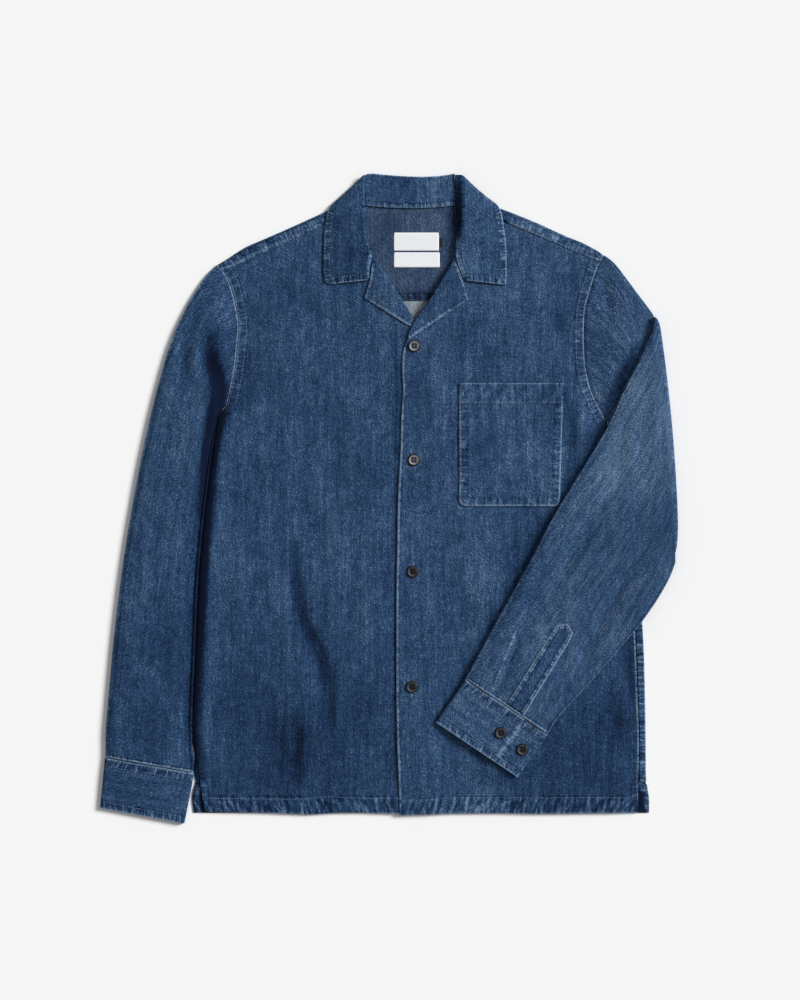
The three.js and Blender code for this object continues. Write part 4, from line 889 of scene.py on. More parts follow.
def make_sleeve_right():
    places = places_along(SLEEVE_RIGHT, SLEEVE_SIDES, GRID)
    s = np.linspace(0, 1, ARM_POINTS)
    rings, uv = [], []
    run = 0.0
    before = None
    for place in places:
        row = single(SLEEVE_RIGHT, place)
        width = width_of(row)
        soft = min(1, place / 2)
        level = np.full(ARM_POINTS, place * ROW_STEP)
        noise = 0.7 * rumple(s * width, level, 34, 21) + 0.3 * rumple(s * width, level, 15, 22)
        noise = noise * soft * dome(8 * s * (1 - s))
        bow = armhole_bow(ARMHOLE_RIGHT, place, -ARMHOLE_SPACE if place < 2 else 0)
        plan = plan_of(row, s, bow)
        top = (1.8 + noise - troughs(SLEEVE_RIGHT_CREASES, *plan)) * soft
        top += rolled(s, width, row["height"] + 1.8) * soft
        top = np.maximum(top, SIDE_TURN - row["height"])
        outer, inner = flat_ring(row["height"], width, top, CLOTH)
        rings.append((lay(row, outer, width, bow), lay(row, inner, width, bow)))
        middle = np.array([(row["out_x"] + row["in_x"]) / 2, (row["out_y"] + row["in_y"]) / 2])
        run += 0 if before is None else float(np.linalg.norm(middle - before))
        before = middle
        uv.append(np.stack([outer[:, 0] - width / 2, np.full(len(outer), run)], axis=1))
    grid = np.array([ring[0] for ring in rings])
    seams = [
        seam(path_of(ARMHOLE_RIGHT, "x", "y"), 1.2, 0.0, 0.12, wear=0.9),
        seam([(-368.5, 68), (-263.6, 49.5)], 2, 0.0, 0.3, 5.5, wear=1.7),
        seam(path_of(SLEEVE_RIGHT, "out_x", "out_y", 30, 0.2), 1.5, wear=0.35),
    ]
    relief = seam_relief(seams, grid[..., 0], grid[..., 1])
    return tube("sleeve_right_cloth", rings, uv, relief, SLEEVE_RIGHT_CREASES)


def make_sleeve_left():
    """Flattened upper arm, a half turn round its fold, and the forearm turned over on top."""
    counts = (ARM_POINTS, ARM_END_POINTS, ARM_POINTS)
    s = np.linspace(0, 1, ARM_POINTS)
    plain = np.zeros(ARM_POINTS)
    rings, uv = [], []
    for place in places_along(UPPER_ARM_LEFT, SLEEVE_SIDES, GRID):
        row = single(UPPER_ARM_LEFT, place)
        width = width_of(row)
        height = mix(SIDE_TURN, UPPER_ARM, float(smoothstep(place / 2)))
        near_fold = float(smoothstep((place - 2.4) / 1.4))
        noise = 0.5 * rumple(s * width, np.full(ARM_POINTS, place * 40.0), 26, 31) * min(1, place)
        arm = armhole_bow(ARMHOLE_LEFT, place, ARMHOLE_SPACE)
        top = noise + 1.3 * min(1, place / 1.5) - troughs(UPPER_ARM_CREASES, *plan_of(row, s, arm))
        top += rolled(s, width, 3.5) * min(1, place)
        top = mix(np.maximum(top, SIDE_TURN - height), np.minimum(top, 0), near_fold)
        outer, inner = flat_ring(height, width, top, CLOTH, counts)
        share = float(smoothstep((place - 1.5) / 3))

        def bow(t, arm=arm, share=share):
            bend_x, bend_y = arm(t)
            return bend_x + share * fold_bow(t), bend_y

        rings.append((lay(row, outer, width, bow), lay(row, inner, width, bow)))
        uv.append(np.stack([outer[:, 0] - width / 2, np.full(len(outer), place * UPPER_STEP)], axis=1))
    run = 4 * UPPER_STEP
    row = single(FOLD_LEFT, 0)
    width = width_of(row)
    outer, inner = flat_ring(UPPER_ARM, width, plain, CLOTH, counts)

    def bow(t):
        return fold_bow(t), 0 * t

    flat = [lay(row, chain, width, bow) for chain in (outer, inner)]
    across = np.clip(outer[:, 0] / width, 0, 1)
    tapered = dome(np.minimum(across / 0.05, (1 - across) / 0.16))
    for angle in np.linspace(0, math.pi, FOLD_STEPS):
        turned = []
        risen = FOREARM_LIFT * float(smoothstep(angle / math.pi))
        for points in flat:
            reach = FOLD_HEIGHT - points[:, 2]
            x = points[:, 0] + reach * math.sin(angle) * tapered
            z = FOLD_HEIGHT + risen - reach * math.cos(angle)
            turned.append(np.stack([x, points[:, 1], z], axis=1))
        rings.append(tuple(turned))
        uv.append(np.stack([outer[:, 0] - width / 2, np.full(len(outer), run + angle * 5)], axis=1))
    run += 16
    below = slice(ARM_POINTS + ARM_END_POINTS, 2 * ARM_POINTS + ARM_END_POINTS)
    for place in places_along(FOREARM_LEFT, SLEEVE_SIDES, GRID):
        row = single(FOREARM_LEFT, place)
        width = width_of(row)
        outer, inner = flat_ring(UPPER_ARM + row["swell"], width, plain, CLOTH, counts)
        share = 1 - float(smoothstep(place / 3))

        def bow(t, share=share):
            return share * fold_bow(t), 0 * t

        laid = [lay(row, chain, width, bow) for chain in (outer, inner)]
        for points in laid:
            points[:, 2] = 2 * FOLD_HEIGHT + FOREARM_LIFT + row["swell"] - points[:, 2]
        across = 1 - s
        depth = troughs(FOREARM_CREASES, *plan_of(row, across, bow))
        soft = 0.35 + 0.65 * float(smoothstep(place / 2))
        level = np.full(ARM_POINTS, place * ROW_STEP)
        noise = 0.7 * rumple(across * width, level, 30, 41) + 0.3 * rumple(across * width, level, 14, 42)
        noise = noise * dome(8 * across * (1 - across))
        change = 0.9 + rolled(across, width, 6.5) * soft + noise - depth
        laid[0][below, 2] += change
        laid[1][below, 2] = np.maximum(laid[1][below, 2] + change, laid[1][0, 2] + SEAM)
        rings.append(tuple(laid))
        uv.append(np.stack([outer[:, 0] - width / 2, np.full(len(outer), run + place * ROW_STEP)], axis=1))
    grid = np.array([ring[0] for ring in rings])
    on_top = grid[..., 2] > FOLD_HEIGHT
    seams = [
        seam(path_of(ARMHOLE_LEFT, "x", "y"), 1.2, 0.0, 0.12, wear=0.9),
        seam([(62.5, 162), (161.5, 96)], 2, 0.0, 0.3, 5.5, wear=1.8),
        seam([(123, 221), (118.4, 207.6), (94.4, 148)], 0.5, 0.0, 0.06, 9, wear=0.75),
        seam(path_of(FOREARM_LEFT, "out_x", "out_y", 30), 1.5, wear=0.2),
        seam(path_of(FOREARM_LEFT, "in_x", "in_y", 30), 1.5, wear=0.35),
    ]
    relief = seam_relief(seams, grid[..., 0], grid[..., 1])
    relief["wear"] = relief["wear"] * np.where(on_top, 1, 0.5)
    return tube("sleeve_left_cloth", rings, uv, relief)


def straight(s):
    return 0 * s, 0 * s


def make_cuff_right():
    rings, uv = [], []
    for n, place in enumerate(CUFF_PLACES):
        row = single(CUFF_RIGHT, place)
        width = width_of(row)
        drop = -0.2 if n in (0, len(CUFF_PLACES) - 1) else 0
        top = np.full(ARM_POINTS, float(drop))
        outer, inner = flat_ring(row["height"], width, top, DOUBLE)
        rings.append((lay(row, outer, width, straight), lay(row, inner, width, straight)))
        uv.append(np.stack([np.full(len(outer), place * 20.0), outer[:, 0]], axis=1))
    grid = np.array([ring[0] for ring in rings])
    seams = [
        seam([(-369.3, 66.7), (-262.6, 48.4)], 9, 0.3, 0.3, 4.6, 0.2, wear=1.8),
        seam([(-375, 7), (-274, -12)], 8, 0.3, 0.28, 4.6, 0.2),
    ]
    relief = seam_relief(seams, grid[..., 0], grid[..., 1])
    for ring, lift in zip(rings, relief["lift"]):
        ring[0][:ARM_POINTS, 2] += lift[:ARM_POINTS]
    return tube("cuff_right_cloth", rings, uv, relief)


def make_cuff_left():
    """The left cuff: a band whose buttoned ends overlap on top."""
    floor = 2 * FOLD_HEIGHT + FOREARM_LIFT - UPPER_ARM
    lap = DOUBLE + SEAM
    high = floor + 2 * lap + DOUBLE
    middle = floor + lap + DOUBLE
    out_radius, in_radius = (high - floor) / 2, (middle - floor) / 2
    outer_rows, inner_rows, uv = [], [], []
    for place in CUFF_PLACES:
        row = single(CUFF_LEFT, place)
        width = width_of(row)
        overlap = line(CUFF_OVERLAP * width, out_radius + 1, 46, high)
        out_edge = half_turn(out_radius, floor + out_radius, out_radius, -1)
        under = line(out_radius + 2, width - in_radius - 2, 20, floor)
        in_edge = half_turn(width - in_radius, floor + in_radius, in_radius, 1)[::-1]
        underlap = line(width - in_radius - 1, CUFF_UNDERLAP * width, 28, middle)
        chain = np.concatenate([overlap, out_edge, under, in_edge, underlap])
        other = thicken(chain, -DOUBLE)
        outer_rows.append(lay(row, chain, width, straight))
        inner_rows.append(lay(row, other, width, straight))
        run = np.concatenate([[0], np.cumsum(np.linalg.norm(np.diff(chain, axis=0), axis=1))])
        uv.append(np.stack([np.full(len(chain), place * 20.0), run], axis=1))
    outer, inner = np.array(outer_rows), np.array(inner_rows)
    end_top, end_low = single(CUFF_LEFT, 0), single(CUFF_LEFT, 3)
    overlap_end = [[mix(e["out_x"], e["in_x"], CUFF_OVERLAP), mix(e["out_y"], e["in_y"], CUFF_OVERLAP)]
                   for e in (end_top, end_low)]
    seams = [
        seam([(62, 161.4), (161.2, 95.3)], 9, 0.3, 0.3, 4.6, 0.2, wear=1.9),
        seam([(27, 110), (125, 44)], 8, 0.3, 0.28, 4.6, 0.2, wear=1.6),
        seam(overlap_end, 3.5, 0.1, 0.15, wear=1.1),
    ]
    relief = seam_relief(seams, outer[..., 0], outer[..., 1])
    on_top = np.concatenate([np.ones(46), np.zeros(9 + 20 + 9), np.ones(28)])
    outer[..., 2] += relief["lift"] * on_top[None]
    outer[0, :, 2] -= 0.15 * on_top
    outer[-1, :, 2] -= 0.4 * on_top
    outer[:, 0, 2] -= 0.4
    return shell("cuff_left_cloth", outer, inner, np.array(uv), relief)


def surface_height(thing):
    """A function that gives the top of a piece at a place in plan, in millimetres."""
    mesh = thing.data
    points = [v.co for v in mesh.vertices]
    tree = BVHTree.FromPolygons(points, [p.vertices for p in mesh.polygons])

    def height(x, y):
        start = to_frame((x, y, 60.0))
        hit = tree.ray_cast(tuple(start), (0, 0, -1))
        return None if hit[0] is None else hit[0].z / MM

    return height


def make_placket(forearm_top):
    """The strip sewn over the left sleeve's opening."""
    places = np.unique(np.concatenate([[0.02, 4.98], np.linspace(0, 5, 61)]))
    across = edged(12, 0.03)
    rows = straight_at(PLACKET, places)
    x = mix(rows["left_x"][:, None], rows["right_x"][:, None], across)
    y = mix(rows["left_y"][:, None], rows["right_y"][:, None], across)
    low = np.vectorize(forearm_top)(x, y).astype(float) + 0.15
    sides = [np.stack([x[:, 0], y[:, 0]], axis=1)[::4], np.stack([x[:, -1], y[:, -1]], axis=1)[::4]]
    outline = np.concatenate([sides[0], [(171.6, 226.6), (184.8, 227.4), (191.4, 216.4)], sides[1][::-1]])
    seams = [seam(outline, 4.5, 0.15, 0.35, 5.5, wear=2.2, stitches=(2,))]
    relief = seam_relief(seams, x, y)
    high = rounded(low + 0.9 + relief["lift"])
    outer = np.stack([x, y, high], axis=2)
    inner = np.stack([x, y, low], axis=2)
    along = np.broadcast_to((places * 30.0)[:, None], x.shape)
    uv = np.stack([np.broadcast_to(across[None] * 24, x.shape), along], axis=2)
    return shell("placket_cloth", outer, inner, uv, relief), seams


def make_leaf(name, tab, under):
    """A collar leaf: up from the neck seam, over the roll and down to its outer edge."""
    def on_front(x, y):
        return float(under(np.array(x), np.array(y))) + LAYER + DOUBLE + 0.25

    places = places_along(tab, (("out_x", "out_y"), ("roll_x", "roll_y")), 1.8)
    fine = np.linspace(0, 1, 40)
    outer_rows, inner_rows = [], []
    for place in places:
        row = single(tab, place)
        way = math.copysign(1, row["out_x"])
        width = abs(row["out_x"] - row["roll_x"])
        stand = abs(row["roll_x"] - row["seam_x"])
        neck = NECK_LIFT + 2 * LAYER + DOUBLE + 0.2
        on_neck = float(smoothstep((row["roll_y"] - 684) / 12))
        seam_height = mix(on_front(row["seam_x"], row["roll_y"]), neck, on_neck)
        crest = max(row["rise"], seam_height + 0.5)
        turned_edge = float(np.interp(place, [3, 4.5, 5.5], [1, 1, 0]))
        laid = on_front(row["out_x"], row["out_y"])
        rest = mix(laid, DOUBLE + max(row["edge"], 0), turned_edge)
        drop = mix(fine, 1 - np.sqrt(1 - 0.98 * fine**2), float(np.interp(place, [3.5, 5.5], [1, 0])))
        drop = mix(drop, smoothstep(fine), 0.35 * (1 - turned_edge))
        round_off = min(2.4, width * 0.3)
        turn = np.linspace(0, 1, 8)
        rise = [[-stand * (1 - t), mix(seam_height, crest - 0.5, t**0.8)] for t in turn[:-1]]
        roll = [[round_off * t, crest - 0.5 * (1 - t) ** 2] for t in turn[:-1]]
        fall = np.stack([mix(round_off, width, fine), mix(crest, rest, drop)], axis=1)
        chain = np.concatenate([rise, roll, fall])
        other = thicken(chain, DOUBLE)
        rows = []
        for points in (chain, other):
            s = np.maximum(points[:, 0] / width, 0)
            x = row["roll_x"] + way * points[:, 0]
            y = mix(row["roll_y"], row["out_y"], s)
            rows.append(np.stack([x, y, np.maximum(points[:, 1], 0)], axis=1))
        outer_rows.append(rows[0])
        inner_rows.append(rows[1])
    outer, inner = np.array(outer_rows), np.array(inner_rows)
    bottom = outer[-1, 14:, :2]
    edge_path = path_of(tab, "out_x", "out_y", 26, 3.4)
    seams = [
        seam(edge_path, 7, 0.3, 0.34, 4.4, wear=1.3, stitches=(7.4,)),
        seam(bottom[::4], 7, 0.3, 0.34, 4.4, wear=1.7, stitches=(7.4,)),
        seam(path_of(tab, "roll_x", "roll_y", 12, 7.5), 3, 0.15, 0.15),
        seam(path_of(tab, "roll_x", "roll_y", 16, 0, 8), 1.5, wear=0.12),
    ]
    relief = seam_relief(seams, outer[..., 0], outer[..., 1])
    on_top = np.concatenate([np.zeros(10), np.ones(outer.shape[1] - 10)])
    outer[..., 2] += relief["lift"] * on_top[None]
    outer[-1, :, 2] -= 0.4
    outer[:, -1, 2] -= 0.3
    return shell(name, outer, inner, outer[..., :2].copy(), relief), seams


def make_collar_back():
    radius = COLLAR_HEIGHT / 2
    rows = at(COLLAR_BACK, np.linspace(0, last_place(COLLAR_BACK), 60))
    outer, inner = [], []
    for n in range(60):
        edge = rows["fold"][n] - radius
        stand_y = np.linspace(rows["seam"][n], edge - 1, 22)
        t = np.linspace(0, 1, 22)
        puff = 0.35 * rumple(np.full(22, rows["x"][n]), stand_y, 18, 51) * np.sin(math.pi * t)
        height = mix(NECK_LIFT + LAYER + DOUBLE + COLLAR_OVER, COLLAR_HEIGHT, t)
        height = height + 0.7 * np.sin(math.pi * t) + puff
        fall = line(edge - 2, COLLAR_FALL_Y, 20, 0.0)
        stand = np.stack([stand_y, height], axis=1)
        chain = np.concatenate([stand, half_turn(edge, radius, radius, 1), fall])
        outer.append(chain)
        inner.append(thicken(chain, DOUBLE - 0.2))
    place = [np.concatenate([np.broadcast_to(rows["x"][:, None, None], g[..., :1].shape), g], axis=2)
             for g in (np.array(outer), np.array(inner))]
    place[1][..., 2] = np.maximum(place[1][..., 2], 0)
    grid = place[0]
    seam_path = path_of(COLLAR_BACK, "x", "seam", 14)
    seams = [
        seam(seam_path, 4.5, 0.2, 0.3, 3.6, wear=0.6, stitches=(1.4,)),
        seam(path_of(COLLAR_BACK, "x", "fold", 14), 1.5, wear=0.5),
    ]
    relief = seam_relief(seams, grid[..., 0], grid[..., 1])
    grid[:, :22, 2] += relief["lift"][:, :22]
    return shell("collar_back_cloth", grid, place[1], grid[..., :2].copy(), relief), seams


def make_pocket():
    places = np.concatenate([[0, 0.02], np.linspace(0, 6, 64)[1:-1], [5.99, 6]])
    rows = at(POCKET, places)
    start = np.stack([rows["left"], rows["y"]], axis=1)
    end = np.stack([rows["right"], rows["y"]], axis=1)
    outline = np.concatenate([path_of(POCKET, "left", "y", 20)[::-1], path_of(POCKET, "right", "y", 20)])
    top = [(55, 515.5), (180, 515.5)]
    seams = [
        seam(outline, 9, 0.35, 0.16, 5.5, stitches=(1.8,)),
        seam(top, 24, 0.35, 0.07, 7, 0.05, wear=0.8, stitches=(23,)),
    ]

    def lifted(x, y):
        return front_left_under(x, y) + LAYER + 0.1

    return panel("pocket_cloth", start, end, edged(52, 0.006), lifted, seams), seams


def make_labels():
    made = {}
    for name, box in LABELS.items():
        y = np.linspace(box["bottom"], box["top"], 16)
        rounding = np.where((y > box["top"] - 1.5) | (y < box["bottom"] + 1.0), 0.5, 0.0)
        start = np.stack([box["left"] + rounding, y], axis=1)
        end = np.stack([box["right"] - rounding, y], axis=1)
        made[name] = panel(f"{name}_cloth", start, end, edged(24, 0.01),
                           lambda x, y: inside_under(x, y) + CLOTH + SEAM, (), LABEL, 0.15)
    return made


def button_mesh(name, x, y, base):
    """A four hole button: raised rim, dished middle, holes sunk through the dish."""
    rings, turns = 30, 72
    r = np.linspace(0, 1, rings) ** 0.9 * BUTTON_RADIUS
    a = np.linspace(0, 2 * math.pi, turns, endpoint=False)
    radius, angle = np.meshgrid(r, a, indexing="ij")
    px, py = radius * np.cos(angle), radius * np.sin(angle)
    rim = np.exp(-(((radius - BUTTON_RADIUS * 0.8) / 1.0) ** 2)) * 0.45
    edge = 1 - smoothstep((radius - BUTTON_RADIUS * 0.86) / (BUTTON_RADIUS * 0.14)) * 0.55
    height = (BUTTON_HEIGHT - 0.75 + rim) * edge
    offset = BUTTON_HOLE_SPACING / 2
    for sx, sy in ((1, 1), (-1, 1), (-1, -1), (1, -1)):
        away = np.hypot(px - sx * offset, py - sy * offset)
        open_here = smoothstep((away - BUTTON_HOLE_RADIUS * 0.75) / (BUTTON_HOLE_RADIUS * 0.5))
        height = mix(0.35, height, open_here)
    bottom = 0.25 * smoothstep((radius - BUTTON_RADIUS * 0.8) / (BUTTON_RADIUS * 0.2)) * 2
    top = np.stack([px + x, py + y, height + base], axis=2)
    low = np.stack([px + x, py + y, np.minimum(bottom, height - 0.1) + base], axis=2)
    grid = np.arange(rings * turns).reshape(rings, turns)
    wrapped = np.concatenate([grid, grid[:, :1]], axis=1)
    under = wrapped + rings * turns

    quads = np.concatenate([
        squares(wrapped[:-1, :-1], wrapped[1:, :-1], wrapped[1:, 1:], wrapped[:-1, 1:]),
        squares(under[:-1, :-1], under[:-1, 1:], under[1:, 1:], under[1:, :-1]),
        squares(wrapped[-1, :-1], under[-1, :-1], under[-1, 1:], wrapped[-1, 1:]),
    ])
    points = to_frame(np.concatenate([top.reshape(-1, 3), low.reshape(-1, 3)]))
    thing = add_mesh(name, points, quads)
    ring = np.exp(-(((radius - BUTTON_RADIUS * 0.66) / 0.7) ** 2))
    # A painted highlight round the ring, brightest towards the lower left and the upper right.
    near_side = np.maximum(np.cos(angle - math.radians(225)), 0)
    far_side = np.maximum(np.cos(angle - 0.8), 0)
    painted_gleam = ring * (0.25 + near_side + 0.6 * far_side)
    bowl = 0.6 * (1 - smoothstep((radius - BUTTON_RADIUS * 0.5) / 0.8))
    # The holes are painted near black: partly the dark cloth seen through them, partly painted shade.
    hole = np.exp(-((np.hypot(np.abs(px) - offset, np.abs(py) - offset) / 1.1) ** 2))
    set_attribute(thing, "painted_gleam", np.concatenate([painted_gleam.ravel(), 0 * painted_gleam.ravel()]))
    set_attribute(thing, "bowl", np.concatenate([(bowl + ring).ravel(), 0 * bowl.ravel()]))
    set_attribute(thing, "hole", np.concatenate([hole.ravel(), 0 * hole.ravel()]))
    merge_points(thing)
    return thing


def merge_points(thing):
    """Joins points that share one place, such as a disc's middle."""
    work = bmesh.new()
    work.from_mesh(thing.data)
    bmesh.ops.remove_doubles(work, verts=work.verts, dist=1e-6)
    work.to_mesh(thing.data)
    work.free()


def offset_path(path, distance, middle):
    """A path moved sideways by a distance, towards a point."""
    path = np.asarray(path, dtype=float)
    step = np.gradient(path, axis=0)
    normal = np.stack([-step[:, 1], step[:, 0]], axis=1)
    normal /= np.maximum(np.linalg.norm(normal, axis=1, keepdims=True), 1e-9)
    ways = [path + normal * distance, path - normal * distance]
    return min(ways, key=lambda moved: np.linalg.norm(moved.mean(axis=0) - middle))


def rows_beside(path, distances, middle):
    """A path moved sideways by each of some distances, towards a point."""
    return [offset_path(path, distance, np.array(middle, dtype=float)) for distance in distances]


def capsules(name, segments, radius):
    """Short rounded threads, one for each pair of end points, joined in one mesh."""
    sides = 6
    angle = np.linspace(0, 2 * math.pi, sides, endpoint=False)
    stations = ((0.0, 0.35), (0.14, 0.95), (0.5, 1.15), (0.86, 0.95), (1.0, 0.35))
    points, quads = [], []
    for start, end in segments:
        run = np.array(end) - start
        length = np.linalg.norm(run)
        ahead = run / length
        side = np.cross(ahead, (0, 0, 1))
        side /= np.linalg.norm(side)
        up = np.cross(side, ahead)
        first = len(points) * sides
        for t, r in stations:
            sink = -radius * 1.1 * abs(2 * t - 1) ** 2
            middle = np.array(start) + run * t + up * sink
            points.append(middle + radius * r * (np.cos(angle)[:, None] * side + np.sin(angle)[:, None] * up))
        rings = first + np.arange(len(stations) * sides).reshape(len(stations), sides)
        nxt = np.roll(rings, -1, axis=1)
        for k in range(len(stations) - 1):
            quads.append(np.stack([rings[k], rings[k + 1], nxt[k + 1], nxt[k]], axis=1))
        for ring in (rings[0], rings[-1][::-1]):
            quads.append(np.array([ring[[0, 1, 2, 3]], ring[[0, 3, 4, 5]]]))
    return add_mesh(name, to_frame(np.concatenate(points)), np.concatenate(quads))


def stitch_paths(name, thing, paths):
    """Stitches along paths in plan, lying on the top of a piece."""
    height = surface_height(thing)
    rng = np.random.default_rng(len(name) * 7)
    segments = []
    for path in paths:
        path = np.asarray(path, dtype=float)
        run = np.concatenate([[0], np.cumsum(np.linalg.norm(np.diff(path, axis=0), axis=1))])
        count = int(run[-1] // STITCH_PITCH)
        for n in range(count):
            first = (n + 0.15) * STITCH_PITCH + rng.uniform(-0.12, 0.12)
            ends = []
            for where in (first, first + STITCH_LENGTH):
                px, py = (float(np.interp(where, run, path[:, axis])) for axis in (0, 1))
                z = height(px, py)
                if z is None:
                    break
                ends.append((px, py, z + THREAD_RADIUS * 0.35))
            if len(ends) == 2 and abs(ends[0][2] - ends[1][2]) < 1.0:
                segments.append(ends)
    return capsules(name, segments, THREAD_RADIUS)


def seam_stitches(name, thing, seams, middle):
    """The stitch rows that a piece's own seams carry."""
    paths = [moved for s in seams for moved in rows_beside(s["path"], s["stitches"], middle)]
    return stitch_paths(name, thing, paths)


# Materials

def new_material(name):
    material = bpy.data.materials.new(name)
    material.use_nodes = True
    tree = material.node_tree
    tree.nodes.clear()
    shader = tree.nodes.new("ShaderNodeBsdfPrincipled")
    output = tree.nodes.new("ShaderNodeOutputMaterial")
    tree.links.new(shader.outputs["BSDF"], output.inputs["Surface"])
    return material, tree, shader


class Nodes:
    """Short ways to add shader nodes to a tree."""

    def __init__(self, tree):
        self.tree = tree

    def link(self, value, socket):
        if hasattr(value, "is_output"):
            self.tree.links.new(value, socket)
        else:
            socket.default_value = value

    def math(self, kind, a, b=0.0, clamp=False):
        node = self.tree.nodes.new("ShaderNodeMath")
        node.operation = kind
        node.use_clamp = clamp
        self.link(a, node.inputs[0])
        self.link(b, node.inputs[1])
        return node.outputs[0]

    def attribute(self, name):
        node = self.tree.nodes.new("ShaderNodeAttribute")
        node.attribute_name = name
        return node.outputs["Fac"]

    def cloth(self, across, along, turn=0.0):
        """Cloth coordinates, turned by an angle, in units of across and along millimetres."""
        node = self.tree.nodes.new("ShaderNodeUVMap")
        node.uv_map = "cloth"
        turned = self.tree.nodes.new("ShaderNodeVectorRotate")
        turned.rotation_type = "Z_AXIS"
        turned.inputs["Angle"].default_value = turn
        self.tree.links.new(node.outputs[0], turned.inputs["Vector"])
        scaled = self.tree.nodes.new("ShaderNodeVectorMath")
        scaled.operation = "MULTIPLY"
        self.tree.links.new(turned.outputs[0], scaled.inputs[0])
        scaled.inputs[1].default_value = (1 / (across * MM), 1 / (along * MM), 1)
        return scaled.outputs[0]

    def noise(self, vector, detail=2.0, roughness=0.5):
        node = self.tree.nodes.new("ShaderNodeTexNoise")
        self.tree.links.new(vector, node.inputs["Vector"])
        node.inputs["Scale"].default_value = 1.0
        node.inputs["Detail"].default_value = detail
        node.inputs["Roughness"].default_value = roughness
        return node.outputs["Fac"]

    def clouds(self, cell):
        """Noise of a cell's size in metres, on the object's own coordinates."""
        coordinates = self.tree.nodes.new("ShaderNodeTexCoord")
        scaled = self.tree.nodes.new("ShaderNodeVectorMath")
        scaled.operation = "SCALE"
        self.tree.links.new(coordinates.outputs["Object"], scaled.inputs[0])
        scaled.inputs["Scale"].default_value = 1 / cell
        return self.noise(scaled.outputs[0], 3, 0.6)

    def ramp(self, value, stops):
        node = self.tree.nodes.new("ShaderNodeValToRGB")
        self.link(value, node.inputs["Fac"])
        points = node.color_ramp.elements
        while len(points) < len(stops):
            points.new(0.5)
        for point, (place, color) in zip(points, stops):
            point.position = place
            point.color = (*color, 1)
        return node.outputs["Color"]

    def blend(self, factor, a, b):
        node = self.tree.nodes.new("ShaderNodeMix")
        node.data_type = "RGBA"
        self.link(factor, node.inputs["Factor"])
        for value, socket in ((a, node.inputs[6]), (b, node.inputs[7])):
            if hasattr(value, "is_output"):
                self.tree.links.new(value, socket)
            else:
                socket.default_value = (*value, 1)
        return node.outputs[2]


DENIM_SHADES = (
    (0.0, (0.0025, 0.0075, 0.026)), (0.5, (0.0178, 0.0515, 0.124)), (0.8, (0.068, 0.126, 0.225)),
    (1.0, (0.17, 0.25, 0.37)),
)
YOKE_SHADES = ((0.0, (0.004, 0.009, 0.026)), (0.5, (0.0245, 0.05, 0.108)), (1.0, (0.16, 0.21, 0.3)))
INSIDE_SHADES = ((0.0, (0.1, 0.14, 0.18)), (0.5, (0.21, 0.26, 0.31)), (1.0, (0.42, 0.46, 0.5)))


